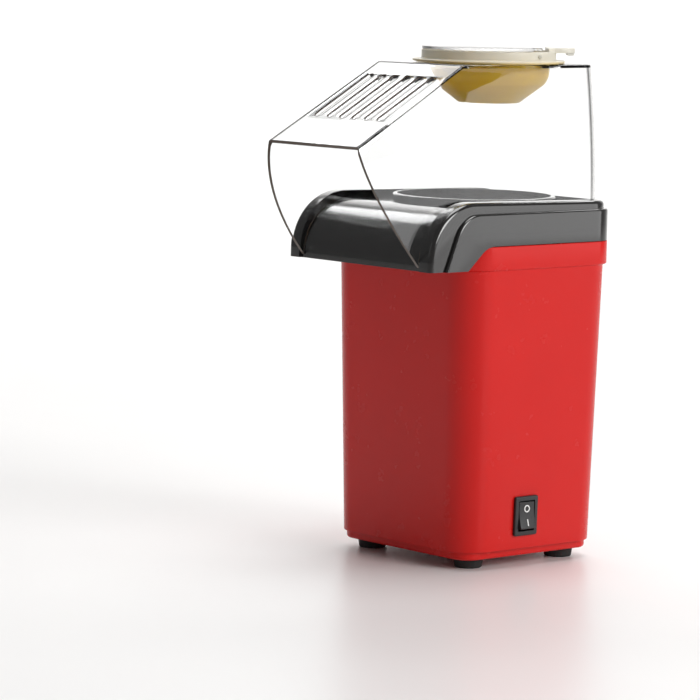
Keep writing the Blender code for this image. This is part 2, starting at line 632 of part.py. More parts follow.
def make_deck():
    nose_y = NOSE_CENTRE_Y - NOSE_RADIUS - 5 * MM
    taper_from = -HALF_DEPTH + SHELL_CORNER
    # cheeks: the outer side faces, flush with the shoulder
    cheek = nose_profile(CHEEK_NOSE_Y, CHEEK_RADIUS, CHEEK_TOP, SHOULDER_BACK, lean=CHEEK_LEAN)
    deck = prism("top_deck", cheek, -SHOULDER_HALF, SHOULDER_HALF, "black_gloss", axis="X")
    join(deck, prism("cheek_plan", plan_with_nose(SHOULDER_HALF, SHOULDER_HALF - NOSE_TAPER, SHOULDER_BACK,
                                                  SHELL_CORNER + SHOULDER_PROUD, taper_from, nose_y),
                     100 * MM, 250 * MM), "INTERSECT")
    # lip: a little narrower, higher and further forward
    lip = prism("lip_block", nose_profile(NOSE_CENTRE_Y, NOSE_RADIUS, DECK_TOP, SHOULDER_BACK - LIP_INSET,
                                          fall=LIP_FALL), -SHOULDER_HALF, SHOULDER_HALF, axis="X")
    half = SHOULDER_HALF - LIP_INSET
    lip_plan = plan_with_nose(half, half - NOSE_TAPER, SHOULDER_BACK - LIP_INSET, SHELL_CORNER, taper_from, nose_y)
    join(lip, prism("lip_plan", lip_plan, 100 * MM, 250 * MM), "INTERSECT")
    # tongue: drops inside the shell
    clear = SHELL_WALL + FIT + 0.1 * MM
    tongue = prism("tongue_block", body_outline(STEP_HEIGHT - TONGUE_DEPTH, inward=clear),
                   STEP_HEIGHT - TONGUE_DEPTH, DECK_UNDER + MM)
    add(deck, lip, tongue)
    # hollows
    inside = prism("deck_hollow", body_outline(STEP_HEIGHT - TONGUE_DEPTH, inward=clear + TONGUE_WALL),
                   100 * MM, DECK_UNDER)
    inner = CHUTE_RADIUS - DECK_PLATE
    floor = STEP_HEIGHT + GAP + DECK_PLATE
    hollow_nose = [(-30 * MM, floor), (-30 * MM, DECK_UNDER)]
    below = max(0.0, floor - CHUTE_Z)
    hollow_nose += arc((NOSE_CENTRE_Y, CHUTE_Z), inner, 90, 180 - math.degrees(math.asin(below / inner)), 8)
    if CHUTE_Z > floor:
        hollow_nose.append((NOSE_CENTRE_Y - inner, floor))
    nose = prism("nose_hollow", hollow_nose, -TROUGH_HALF - 2.5 * MM, TROUGH_HALF + 2.5 * MM, axis="X")
    # trough: the deck's floor and the chute, between the lips
    trough_side = [(TROUGH_REAR_Y, DECK_FLOOR)]
    trough_side += arc((NOSE_CENTRE_Y, CHUTE_Z), CHUTE_RADIUS, 90, 180, CHUTE_STEPS)
    trough_side += [(NOSE_CENTRE_Y - CHUTE_RADIUS, STEP_HEIGHT - 10 * MM), (-110 * MM, STEP_HEIGHT - 10 * MM),
                    (-110 * MM, DECK_TOP + 20 * MM), (TROUGH_REAR_Y, DECK_TOP + 20 * MM)]
    trough = prism("trough_side", trough_side, -TROUGH_HALF, TROUGH_HALF, axis="X")
    rear = rounded(TROUGH_HALF, -120 * MM, TROUGH_REAR_Y, TROUGH_CORNER, 5)
    join(trough, prism("trough_plan", rear, 100 * MM, 260 * MM), "INTERSECT")
    cut(deck, inside, nose, trough)
    # collar round the chamber's mouth, and the four bosses that hold the duct
    collar = cylinder("collar_block", HOLE_RADIUS + COLLAR_WALL, DECK_UNDER + COLLAR_SINK, DECK_TOP - COLLAR_SINK,
                      sides=48)
    add(deck, collar)
    for i, (x, y) in enumerate(ear_places()):
        boss = EAR_RADIUS - BOSS_STEP
        add(deck, cylinder(f"deck_boss_{i}", boss, DUCT_TOP + GAP, DECK_UNDER + MM, (x, y), sides=16))
    cut(deck, cylinder("deck_mouth", HOLE_RADIUS, 150 * MM, 250 * MM, sides=48))
    for i, (x, y) in enumerate(ear_places()):
        pilot_top = DECK_FLOOR - PILOT_SKIN
        cut(deck, cylinder(f"deck_pilot_{i}", SCREW_SHANK + FIT, 150 * MM, pilot_top, (x, y), sides=12))
    smooth(deck)


def ear_places():
    return [(x, y) for x in (-EAR_REACH, EAR_REACH) for y in (-EAR_REACH, EAR_REACH)]


# ---------------------------------------------------------------- hot-air unit

def make_chamber():
    """The popping chamber: a cup with a coned floor, a clamped flange and slanted air vents."""
    out, inn = CHAMBER_RADIUS, CHAMBER_RADIUS - CHAMBER_WALL
    low, top, wall = CHAMBER_FLOOR, CHAMBER_TOP, CHAMBER_WALL
    heel = low + CHAMBER_HEEL
    flat = inn - CHAMBER_HEEL + wall
    profile = [
        (inn, top), (inn, heel), (flat, low + wall), (CONE_RADIUS, low + wall), (0, low + wall + CHAMBER_CONE),
        (0, low + CHAMBER_CONE), (CONE_RADIUS, low), (flat + wall / 2, low), (out, heel),
        (out, top - FLANGE_THICK), (CHAMBER_FLANGE, top - FLANGE_THICK), (CHAMBER_FLANGE, top),
    ]
    chamber = turned("popping_chamber", profile, "aluminium", sides=48)
    for i in range(CHAMBER_VENTS):
        around = Matrix.Rotation(math.tau * i / CHAMBER_VENTS, 4, "Z")
        lean = Matrix.Translation((out, 0, heel + (MM + VENT_HEIGHT) / 2)) @ Matrix.Rotation(VENT_LEAN, 4, "X")
        cut(chamber, box(f"vent_{i}", (-4 * MM, -VENT_WIDTH / 2, -VENT_HEIGHT / 2),
                         (4 * MM, VENT_WIDTH / 2, VENT_HEIGHT / 2), turn=around @ lean))
    smooth(chamber)
    inner = HOLE_RADIUS + MM / 2
    gasket = turned("chamber_gasket", [
        (CHAMBER_FLANGE, GASKET_TOP), (inner, GASKET_TOP),
        (inner, GASKET_TOP - GASKET_THICK), (CHAMBER_FLANGE, GASKET_TOP - GASKET_THICK),
    ], "silicone", sides=48)
    smooth(gasket)


def make_duct():
    """The duct holds the fan, the heater and the chamber, and hangs under the deck on four screws."""
    out, inn = DUCT_RADIUS, DUCT_RADIUS - DUCT_WALL
    mouth = FAN_RADIUS + 3.0 * MM
    flange_low = DUCT_TOP - DUCT_FLANGE_THICK
    profile = [
        (0, DUCT_BOTTOM), (out, DUCT_BOTTOM), (out, flange_low), (DUCT_FLANGE, flange_low),
        (DUCT_FLANGE, DUCT_TOP), (0, DUCT_TOP),
    ]
    duct = turned("heater_duct", profile, "steel", sides=48)
    for i, (x, y) in enumerate(ear_places()):
        add(duct, cylinder(f"duct_ear_{i}", EAR_RADIUS, flange_low, DUCT_TOP, (x, y), sides=16))
    cut(duct, cylinder("duct_bore", inn, DUCT_BOTTOM + DUCT_WALL, DUCT_TOP + 5 * MM, sides=48),
        cylinder("duct_mouth", mouth, DUCT_BOTTOM - 5 * MM, DUCT_BOTTOM + 5 * MM, sides=48))
    for i, (x, y) in enumerate(ear_places()):
        cut(duct, cylinder(f"ear_hole_{i}", SCREW_SHANK + FIT, 150 * MM, 220 * MM, (x, y), sides=12))
        screw(f"duct_screw_{i + 1}", (x, y), flange_low - GAP, DUCT_SCREW_LENGTH)
    smooth(duct)


def ring_coil(name, ring, turns, gap_degrees, finish="nichrome"):
    """A wound wire bent round a ring, open over gap_degrees, with its two tails turned down."""
    span = math.radians(360 - gap_degrees)
    start = math.radians(gap_degrees / 2)
    route = []
    for i in range(turns * COIL_FACETS + 1):
        along = start + span * i / (turns * COIL_FACETS)
        winding = math.tau * i / COIL_FACETS
        radius = ring + COIL_TUBE * math.cos(winding)
        route.append(Vector((radius * math.cos(along), radius * math.sin(along),
                             COIL_HEIGHT + COIL_TUBE * math.sin(winding))))
    drop = Vector((0, 0, MICA_LOW - COIL_HEIGHT))
    route = [route[0] + drop] + route + [route[-1] + drop]
    curve = bpy.data.curves.new(name, "CURVE")
    curve.dimensions = "3D"
    curve.bevel_depth = WIRE_RADIUS
    curve.bevel_resolution = 0
    curve.use_fill_caps = True
    spline = curve.splines.new("POLY")
    spline.points.add(len(route) - 1)
    for point, place in zip(spline.points, route):
        point.co = (*place, 1)
    return add_object(name, curve, finish)


def make_heater():
    """Two crossed mica boards, notched for the two coils that are wound round them."""
    reach = DUCT_RADIUS - DUCT_WALL - FIT
    half = MICA_THICK / 2
    mica = box("heater_frame", (-reach, -half, MICA_LOW), (reach, half, MICA_HIGH), "mica",
               turn=Matrix.Rotation(math.radians(45), 4, "Z"))
    add(mica, box("mica_cross", (-reach, -half, MICA_LOW), (reach, half, MICA_HIGH),
                  turn=Matrix.Rotation(math.radians(-45), 4, "Z")))
    clear = COIL_TUBE + WIRE_RADIUS + FIT
    for ring in (MAIN_COIL_RING, DROPPER_COIL_RING):
        low = COIL_HEIGHT - clear
        notch = turned(f"coil_notch_{round(ring / MM)}", [
            (ring + clear, MICA_HIGH + MM), (ring - clear, MICA_HIGH + MM),
            (ring - clear, low), (ring + clear, low),
        ], sides=32)
        cut(mica, notch)
    ring_coil("heater_coil", MAIN_COIL_RING, MAIN_COIL_TURNS, 14)
    ring_coil("motor_dropper_coil", DROPPER_COIL_RING, DROPPER_COIL_TURNS, 26)


def make_thermostat():
    """A bimetal thermostat and a thermal fuse, both clipped to the outside of the duct."""
    height = THERMOSTAT_HEIGHT
    seat = DUCT_RADIUS + GAP
    ear = (1.2 * MM, 11.0 * MM, 4.0 * MM)    # thickness, half length and half height of the fixing ears
    tab = (2.2 * MM, 0.4 * MM, 9.0 * MM)     # half width, half thickness and length of a terminal
    lay = Matrix.Translation((-seat, 0, height)) @ Matrix.Rotation(-math.pi / 2, 4, "Y")
    can = cylinder("thermostat", THERMOSTAT_RADIUS, 0, THERMOSTAT_DEPTH, finish="steel", sides=20, turn=lay)
    add(can, box("thermostat_ears", (-ear[0], -ear[1], -ear[2]), (0, ear[1], ear[2]),
                 turn=Matrix.Translation((-seat - ear[0] / 2, 0, height))))
    for i, y in enumerate((-THERMOSTAT_RADIUS / 2, THERMOSTAT_RADIUS / 2)):
        place = Matrix.Translation((-seat - tab[0], y, height + ear[2] / 2))
        add(can, box(f"thermostat_tab_{i}", (-tab[0], -tab[1], 0), (0, tab[1], tab[2]), turn=place))
    at = (0, seat + FUSE_RADIUS + FUSE_LEAD / 20)
    fuse = cylinder("thermal_fuse", FUSE_RADIUS, FUSE_LOW, FUSE_HIGH, at, finish="aluminium", sides=16)
    add(fuse, cylinder("fuse_leads", WIRE_RADIUS, FUSE_LOW - FUSE_LEAD, FUSE_HIGH + FUSE_LEAD, at, sides=8))
    smooth(can)
    smooth(fuse)


def make_motor():
    """A direct-current motor under the spider: can, magnets, rotor, bearings and end cap."""
    inner = MOTOR_RADIUS - MOTOR_WALL
    seat = BEARING_RADIUS + FIT
    roof = MOTOR_HIGH - MOTOR_WALL
    can = turned("motor_can", [
        (MOTOR_RADIUS, MOTOR_HIGH), (seat, MOTOR_HIGH), (seat, roof),
        (inner, roof), (inner, MOTOR_LOW), (MOTOR_RADIUS, MOTOR_LOW),
    ], "steel", sides=32)
    smooth(can)
    lid, floor = MOTOR_LOW + 2.5 * MM, MOTOR_LOW - 2.0 * MM
    cap = turned("motor_end_cap", [
        (inner - FIT, lid), (seat, lid), (seat, floor),
        (MOTOR_RADIUS, floor), (MOTOR_RADIUS, MOTOR_LOW - GAP), (inner - FIT, MOTOR_LOW - GAP),
    ], "grey_plastic", sides=32)
    smooth(cap)
    bore = SHAFT_RADIUS + RUN
    for name, low in (("upper_bearing", roof - 1.5 * MM), ("lower_bearing", MOTOR_LOW - 1.5 * MM)):
        high = low + BEARING_HEIGHT
        smooth(turned(name, [(BEARING_RADIUS, high), (bore, high), (bore, low), (BEARING_RADIUS, low)],
                      "bronze", sides=24))
    for i, side in enumerate(("left", "right")):
        start = 180 * i - MAGNET_SPAN / 2
        outline = arc((0, 0), inner - FIT, start, start + MAGNET_SPAN, 8)
        outline += arc((0, 0), inner - FIT - MAGNET_THICK, start + MAGNET_SPAN, start, 8)
        smooth(prism(f"motor_magnet_{side}", outline, MOTOR_LOW + 5.0 * MM, MOTOR_HIGH - 4.5 * MM, "ferrite"))


def make_rotor(parent):
    """Everything that turns: shaft, rotor, fan and the clip that holds the fan."""
    fan_top = FAN_LOW + FAN_HEIGHT
    smooth(cylinder("motor_shaft", SHAFT_RADIUS, MOTOR_LOW - 2.5 * MM, fan_top + 4.0 * MM, finish="steel",
                    sides=16, parent=parent))
    bore = SHAFT_RADIUS + RUN
    core = MOTOR_RADIUS - MOTOR_WALL - 2 * FIT - MAGNET_THICK
    commutator = 2.8 * MM
    low, step, high = MOTOR_LOW + 3.2 * MM, MOTOR_LOW + 7.0 * MM, MOTOR_HIGH - 5.0 * MM
    smooth(turned("motor_rotor", [
        (core, high), (bore, high), (bore, low), (commutator, low), (commutator, step), (core, step),
    ], "steel", sides=24, parent=parent))
    fan = turned("fan_impeller", [(FAN_HUB, fan_top), (bore, fan_top), (bore, FAN_LOW), (FAN_HUB, FAN_LOW)],
                 "grey_plastic", sides=24, parent=parent)
    for i in range(FAN_BLADES):
        around = Matrix.Rotation(math.tau * i / FAN_BLADES, 4, "Z")
        pitch = Matrix.Translation((0, 0, FAN_LOW + FAN_HEIGHT / 2)) @ Matrix.Rotation(BLADE_PITCH, 4, "X")
        add(fan, box(f"fan_blade_{i}", (FAN_HUB - 1.5 * MM, -BLADE_CHORD / 2, -BLADE_THICK / 2),
                     (FAN_RADIUS, BLADE_CHORD / 2, BLADE_THICK / 2), parent=parent, turn=around @ pitch))
    smooth(fan)
    clip, clip_low = 3.4 * MM, fan_top + GAP
    clip_high = clip_low + 2.0 * MM
    smooth(turned("fan_clip", [(clip, clip_high), (bore, clip_high), (bore, clip_low), (clip, clip_low)],
                  "steel", sides=16, parent=parent))


def make_spider():
    """The four-armed bracket that carries the motor under the duct."""
    top, low = DUCT_BOTTOM - GAP, MOTOR_HIGH + GAP
    inner = DUCT_RADIUS - SPIDER_RIM
    ring = turned("motor_spider", [(DUCT_RADIUS, top), (inner, top), (inner, low), (DUCT_RADIUS, low)],
                  "grey_plastic", sides=48)
    add(ring, cylinder("spider_hub", MOTOR_RADIUS + MM, low, low + SPIDER_THICK, sides=32))
    reach = DUCT_RADIUS - MM
    for i in range(SPIDER_ARMS // 2):
        add(ring, box(f"spider_arm_{i}", (-reach, -SPIDER_ARM_HALF, low), (reach, SPIDER_ARM_HALF, low + SPIDER_THICK),
                      turn=Matrix.Rotation(math.pi * i / (SPIDER_ARMS // 2), 4, "Z")))
    cut(ring, cylinder("spider_bore", SHAFT_BORE, 0, 100 * MM, sides=24))
    for i, x in enumerate((-MOTOR_SCREW_X, MOTOR_SCREW_X)):
        cut(ring, cylinder(f"spider_screw_hole_{i}", SCREW_SHANK + FIT, 0, 100 * MM, (x, 0), sides=12))
        screw(f"motor_screw_{i + 1}", (x, 0), low + SPIDER_THICK + GAP, SPIDER_THICK + 0.4 * MM, up=False)
    smooth(ring)


def make_board():
    """The rectifier board that feeds the motor, with its four diodes."""
    top = MOTOR_LOW - 3.5 * MM
    low = top - BOARD_THICK
    board = box("rectifier_board", (-BOARD_HALF_X, -BOARD_HALF_Y, low), (BOARD_HALF_X, BOARD_HALF_Y, top), "board")
    for i in range(4):
        place = Matrix.Translation(((i - 1.5) * DIODE_PITCH, 0, low - DIODE_RADIUS + 0.2 * MM))
        lay = place @ Matrix.Rotation(math.pi / 2, 4, "X")
        add(board, cylinder(f"diode_{i}", DIODE_RADIUS, -DIODE_LENGTH / 2, DIODE_LENGTH / 2, sides=12, turn=lay))
    cut(board, cylinder("board_shaft_hole", SHAFT_BORE, 0, 100 * MM, sides=16))


# ---------------------------------------------------------------- switch and gland

def make_switch():
    """The switch snaps into a window in the right wall, and leans with the wall."""
    place = pivot("switch_place", (wall_half_width(SWITCH_Z), SWITCH_Y, SWITCH_Z), turn=(0, DRAFT_ANGLE, 0))
    y, z = SWITCH_BODY_WIDTH / 2, SWITCH_BODY_HEIGHT / 2
    frame = box("switch_frame", (-SWITCH_BODY_DEPTH, -y, -z), (0.5 * MM, y, z), "black_satin", parent=place)
    bezel = box("switch_bezel", (GAP, -BEZEL_WIDTH / 2, -BEZEL_HEIGHT / 2),
                (BEZEL_THICK, BEZEL_WIDTH / 2, BEZEL_HEIGHT / 2), parent=place)
    edge = bezel.modifiers.new("edge", "BEVEL")
    edge.width = BEZEL_EDGE
    edge.segments = 1
    add(frame, bezel)
    y, z = ROCKER_WIDTH / 2 + FIT, ROCKER_HEIGHT / 2 + FIT
    cut(frame, box("rocker_window", (-ROCKER_DEPTH - 4 * MM, -y, -z), (10 * MM, y, z), parent=place))
    for i, height in enumerate((-BLADE_PLACE, BLADE_PLACE)):
        add(frame, box(f"switch_blade_{i}",
                       (-SWITCH_BODY_DEPTH - BLADE_LENGTH, -BLADE_HALF_WIDTH, height - BLADE_HALF_THICK),
                       (-SWITCH_BODY_DEPTH + MM, BLADE_HALF_WIDTH, height + BLADE_HALF_THICK), parent=place))
    # the rocker turns about Y, in the plane of the wall; at rest its upper, off side is pressed in
    axis = pivot("rocker_axis", (0, 0, 0), parent=place, turn=(0, -ROCKER_TILT, 0))
    half = ROCKER_HEIGHT / 2 - 0.35 * MM
    ridge = ROCKER_CROWN + math.tan(ROCKER_TILT) * half * 0.35
    foot, edge_z = half * 0.55, half - 0.4 * MM
    crown = [(-ROCKER_DEPTH, -foot), (0, -half), (ridge, -edge_z), (ROCKER_CROWN - ROCKER_DISH, 0),
             (ridge, edge_z), (0, half), (-ROCKER_DEPTH, foot)]
    prism("switch_rocker", crown, -ROCKER_WIDTH / 2, ROCKER_WIDTH / 2, "black_satin", axis="Y", parent=axis)


def make_gland():
    """The cord's way in at the rear: a flanged bush and its nut."""
    rear = wall_rear(GLAND_HEIGHT)
    lay = Matrix.Translation((0, rear, GLAND_HEIGHT)) @ Matrix.Rotation(-math.pi / 2, 4, "X")
    inner = -SHELL_WALL - GLAND_NUT_THICK - 2.5 * MM
    bush = cylinder("cord_gland", GLAND_BODY, inner, 1.0 * MM, finish="black_satin", sides=24, turn=lay)
    add(bush, cylinder("gland_flange", GLAND_FLANGE, 0.5 * MM, 0.5 * MM + GLAND_FLANGE_THICK, sides=32,
                       top=GLAND_FLANGE - 0.8 * MM, turn=lay))
    cut(bush, cylinder("gland_bore", GLAND_BORE, -30 * MM, 30 * MM, sides=24, turn=lay))
    smooth(bush)
    nut_top = -SHELL_WALL - 0.6 * MM
    nut = cylinder("gland_nut", GLAND_BODY + 2.6 * MM, nut_top - GLAND_NUT_THICK, nut_top,
                   finish="black_satin", sides=6, turn=lay)
    cut(nut, cylinder("nut_bore", GLAND_BODY + FIT, -30 * MM, 30 * MM, sides=24, turn=lay))


# ---------------------------------------------------------------- hood

def wall_curve(top, bottom, half_top, half_bottom, levels):
    """One line down the hood's side wall, from its upper edge to its lower edge."""
    points = []
    for i in range(levels + 1):
        rise = 1 - i / levels
        y = bottom[0] + (top[0] - bottom[0]) * (1 - (1 - rise) ** HOOD_SWEEP)
        z = bottom[1] + (top[1] - bottom[1]) * rise
        points.append((half_bottom - (half_bottom - half_top) * rise ** HOOD_BULGE, y, z))
    return points


def hood_stations():
    """Lines down the right half of the hood, from the mouth's edge round to the middle of the rear wall."""
    levels = 7
    floor = DECK_FLOOR + GAP
    lines = []
    # under the sloping panel: the lines fan out from the mouth's curved edge to the fold,
    # and their lower ends follow the chute round
    edge = arc((NOSE_CENTRE_Y, CHUTE_Z), CHUTE_RADIUS + GAP, 180, 90, CHUTE_STEPS) + [(HOOD_FOLD_Y, floor)]
    for i, low in enumerate(edge):
        share = i / (len(edge) - 1)
        top_y = HOOD_LIP_Y + (HOOD_FOLD_Y - HOOD_LIP_Y) * share
        top_z = HOOD_LIP_Z + (HOOD_TOP - HOOD_LIP_Z) * share
        half = HOOD_HALF_LIP + (HOOD_HALF_FOLD - HOOD_HALF_LIP) * share
        lines.append(wall_curve((top_y, top_z), low, half, HOOD_HALF, levels))
    # round the rear corner and to the middle
    for half, y in rear_places(4):
        share = (y - HOOD_FOLD_Y) / (HOOD_REAR_Y - HOOD_FOLD_Y)
        full = HOOD_HALF_FOLD + (HOOD_HALF_REAR - HOOD_HALF_FOLD) * share
        top_half = half * full / HOOD_HALF
        lines.append(wall_curve((y, HOOD_TOP), (y, floor), top_half, half, levels))
    return lines


def rear_places(steps):
    """(x, y) round the right rear corner of the hood's plan and on to its middle."""
    centre = (HOOD_HALF - HOOD_CORNER, HOOD_REAR_Y - HOOD_CORNER)
    return arc(centre, HOOD_CORNER, 0, 90, steps) + [(0, HOOD_REAR_Y)]


def make_hood(parent):
    """Half of the clear hood as an open skin, mirrored and given its wall, then pierced."""
    bm = bmesh.new()
    grid = [[bm.verts.new(p) for p in line] for line in hood_stations()]
    for left, right in zip(grid, grid[1:]):
        for i in range(len(left) - 1):
            bm.faces.new((left[i], left[i + 1], right[i + 1], right[i]))
    ridge = [line[0] for line in grid]
    fold = CHUTE_STEPS + 1
    lip_mid = bm.verts.new((0, HOOD_LIP_Y, HOOD_LIP_Z))
    fold_mid = bm.verts.new((0, HOOD_FOLD_Y, HOOD_TOP))
    bm.faces.new([lip_mid] + ridge[:fold + 1] + [fold_mid])
    bm.faces.new([fold_mid] + ridge[fold:])
    hood = add_object("hood", mesh_of(bm, "hood"), "clear_plastic", parent)
    mirror = hood.modifiers.new("mirror", "MIRROR")
    mirror.merge_threshold = 0.00005
    mirror.use_clip = True
    wall = hood.modifiers.new("wall", "SOLIDIFY")
    wall.thickness = HOOD_WALL
    wall.offset = -1
    wall.use_even_offset = True
    cut(hood, cylinder("hood_mouth", CUP_MOUTH + 1.0 * MM, HOOD_TOP - 20 * MM, HOOD_TOP + 20 * MM, (0, CUP_Y),
                       sides=48, parent=parent))
    slope = Vector((0, HOOD_FOLD_Y - HOOD_LIP_Y, HOOD_TOP - HOOD_LIP_Z))
    tilt = Matrix.Rotation(math.atan2(slope.z, slope.y), 4, "X")
    lean = Matrix.Translation((0, HOOD_LIP_Y, HOOD_LIP_Z)) @ tilt
    for i in range(VENT_SLOTS):
        x = (i - (VENT_SLOTS - 1) / 2) * VENT_SLOT_PITCH
        half = VENT_SLOT_WIDTH / 2
        start, end = slope.length * VENT_SLOT_START, slope.length * VENT_SLOT_END
        outline = arc((x, end - half), half, 0, 180, 6) + arc((x, start + half), half, 180, 360, 6)
        slot = prism(f"hood_slot_{i}", outline, -15 * MM, 15 * MM, parent=parent)
        slot.data.transform(lean)
        cut(hood, slot)
    smooth(hood, 25)


# ---------------------------------------------------------------- cup and lid

def make_cup(parent):
    """A turned bowl with a flange and a rim ring; a bridge behind the hinge carries the handle."""
    seat = CUP_SEAT
    top = seat + CUP_FLANGE_THICK
    floor = HOOD_TOP - CUP_DEPTH
    ring_in = CUP_RING - CUP_WALL
    mouth_in = CUP_MOUTH - CUP_WALL
    hip = CUP_MOUTH - CUP_HIP_IN
    profile = [
        (CUP_RING, RING_TOP), (ring_in, RING_TOP), (ring_in, top), (mouth_in, top - 0.6 * MM),
        (mouth_in - CUP_DRAFT, HOOD_TOP - CUP_NECK + 0.5 * MM), (hip - MM, floor + CUP_HIP_HEIGHT + 1.2 * MM),
        (CUP_FOOT - 0.5 * MM, floor + CUP_WALL), (0, floor + CUP_WALL),
        (0, floor), (CUP_FOOT, floor), (hip, floor + CUP_HIP_HEIGHT), (CUP_MOUTH - CUP_DRAFT, HOOD_TOP - CUP_NECK),
        (CUP_MOUTH, seat), (CUP_FLANGE, seat), (CUP_FLANGE, top), (CUP_RING, top),
    ]
    cup = turned("butter_cup", profile, "amber_plastic", sides=56, parent=parent)
    # bridge and handle, on the far side of the hinge
    back = LID_CHORD + LID_SWING + GAP
    low, high = RING_TOP - BRIDGE_SINK, LID_TOP
    reach = math.sqrt(CUP_RING ** 2 - back ** 2)
    angle = math.degrees(math.atan2(reach, back))
    segment = arc((0, 0), CUP_RING - 0.1 * MM, -angle, angle, 12)
    add(cup, prism("cup_bridge", segment, low, high, parent=parent))
    half = HANDLE_WIDTH / 2
    tab = arc((HANDLE_REACH - half, 0), half, -90, 90, 10) + [(back + MM, half), (back + MM, -half)]
    add(cup, prism("cup_handle", tab, low, high, parent=parent))
    narrow = half - HANDLE_EDGE
    spread = math.degrees(math.acos((half - HANDLE_TIP) / narrow))
    tip = arc((HANDLE_REACH - half, 0), narrow, -spread, spread, 8)
    add(cup, prism("handle_grip", tip, low - HANDLE_TIP_DROP, high - LID_THICK / 2, parent=parent))
    lay = Matrix.Translation((LID_CHORD, 0, PIN_Z)) @ Matrix.Rotation(math.pi / 2, 4, "X")
    cut(cup, cylinder("pin_hole", LID_PIN_RADIUS + RUN, -60 * MM, 60 * MM, sides=16, parent=parent, turn=lay))
    smooth(cup, 30)
    length = math.sqrt(CUP_RING ** 2 - LID_CHORD ** 2) + 1.2 * MM
    smooth(cylinder("lid_pin", LID_PIN_RADIUS, -length, length, finish="amber_plastic", sides=16, parent=parent, turn=lay))


def make_lid(parent):
    """A D-shaped plate with a hinge barrel; its origin is the middle of the hinge pin."""
    under = RING_TOP + GAP - PIN_Z
    edge = LID_CHORD + LID_BARREL
    angle = math.degrees(math.acos(edge / CUP_RING))
    outline = arc((-LID_CHORD, 0), CUP_RING, angle, 360 - angle, 40)
    lid = prism("cup_lid", outline, under, under + LID_THICK, "clear_plastic", parent=parent)
    half = math.sqrt((CUP_RING - CUP_WALL) ** 2 - (LID_CHORD + LID_BARREL) ** 2) - 1.2 * MM
    lay = Matrix.Rotation(math.pi / 2, 4, "X")
    barrel = cylinder("lid_barrel", LID_BARREL, -half, half, sides=16, parent=parent, turn=lay)
    web = box("lid_web", (-LID_BARREL * 0.8, -LID_NECK + FIT, 0),
              (LID_BARREL * 0.8, LID_NECK - FIT, under + LID_THICK / 2), parent=parent)
    add(lid, barrel, web)
    for side in (-1, 1):
        ends = sorted((side * LID_NECK, side * CUP_RING))
        cut(lid, box(f"lid_shoulder_{side}", (-LID_NECK_START, ends[0], LID_BARREL + FIT),
                     (3 * LID_BARREL, ends[1], under + 2 * LID_THICK), parent=parent))
    cut(lid, cylinder("lid_bore", LID_PIN_RADIUS + RUN, -60 * MM, 60 * MM, sides=16, parent=parent, turn=lay))
    smooth(lid)


def main():
    make_shell()
    make_base()
    make_feet()
    make_base_screws()
    make_deck()
    make_chamber()
    make_duct()
    make_heater()
    make_thermostat()
    make_motor()
    make_rotor(pivot("fan_axis", (0, 0, 0)))
    make_spider()
    make_board()
    make_switch()
    make_gland()
    make_hood(pivot("hood_place", (0, 0, 0)))
    cup_axis = pivot("cup_axis", (0, CUP_Y, 0), turn=(0, 0, CUP_TURN))
    make_cup(cup_axis)
    make_lid(pivot("lid_hinge", (LID_CHORD, 0, PIN_Z), parent=cup_axis))


main()
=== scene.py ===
# %% [markdown]
# # A hot-air popcorn maker
# The frame is the working model: every part is already at its size and place. This notebook
# makes the pieces that are seen from outside again with finer surfaces, and gives every piece a
# finish. Lengths are in millimetres until the helper `at` turns them into a point in the scene.

# %% Load the frame
import json
import math

import bmesh
import bpy
from mathutils import Matrix, Vector


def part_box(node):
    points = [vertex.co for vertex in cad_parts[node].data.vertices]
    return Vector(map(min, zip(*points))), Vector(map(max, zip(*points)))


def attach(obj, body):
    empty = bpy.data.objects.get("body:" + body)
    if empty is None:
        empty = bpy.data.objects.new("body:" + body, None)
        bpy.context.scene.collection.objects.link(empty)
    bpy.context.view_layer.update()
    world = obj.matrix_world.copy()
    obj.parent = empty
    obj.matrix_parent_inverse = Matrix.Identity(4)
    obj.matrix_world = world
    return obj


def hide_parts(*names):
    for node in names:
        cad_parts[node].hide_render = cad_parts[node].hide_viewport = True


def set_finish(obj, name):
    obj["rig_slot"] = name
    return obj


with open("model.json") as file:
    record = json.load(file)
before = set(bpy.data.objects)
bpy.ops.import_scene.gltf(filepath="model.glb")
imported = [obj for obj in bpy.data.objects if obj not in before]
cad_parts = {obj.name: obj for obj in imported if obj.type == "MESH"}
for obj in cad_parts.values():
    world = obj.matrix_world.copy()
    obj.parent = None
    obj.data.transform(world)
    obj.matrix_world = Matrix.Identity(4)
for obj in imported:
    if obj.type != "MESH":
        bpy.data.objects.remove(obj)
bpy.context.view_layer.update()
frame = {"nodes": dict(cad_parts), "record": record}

# %% [markdown]
# The popping chamber's axis is the middle of nearly everything, so pieces are drawn round it.
# `at` moves a point from that axis into the scene.

# %% Where things are
MM = 0.001
chamber_low, chamber_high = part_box("popping_chamber")
AXIS = Vector((0, (chamber_low.y + chamber_high.y) / 2, 0))


def at(x, y, z):
    """A point given in millimetres from the chamber's axis and the table."""
    return AXIS + Vector((x, y, z)) * MM


def span(node):
    """The lowest and highest corner of a node, in millimetres from the chamber's axis."""
    low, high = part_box(node)
    return (low - AXIS) / MM, (high - AXIS) / MM


print("chamber axis at y =", round(AXIS.y / MM, 2), "mm")

# %% [markdown]
# ## Working by hand, in code
# Operators act on whatever is selected, so each helper first selects only its own object.
# `grab` opens edit mode and selects the edges, faces or corners that pass a test.

# %% Selecting and editing
def take(obj):
    """Makes obj the only selected object, and the active one."""
    if bpy.context.object and bpy.context.object.mode != "OBJECT":
        bpy.ops.object.mode_set(mode="OBJECT")
    bpy.ops.object.select_all(action="DESELECT")
    obj.select_set(True)
    bpy.context.view_layer.objects.active = obj


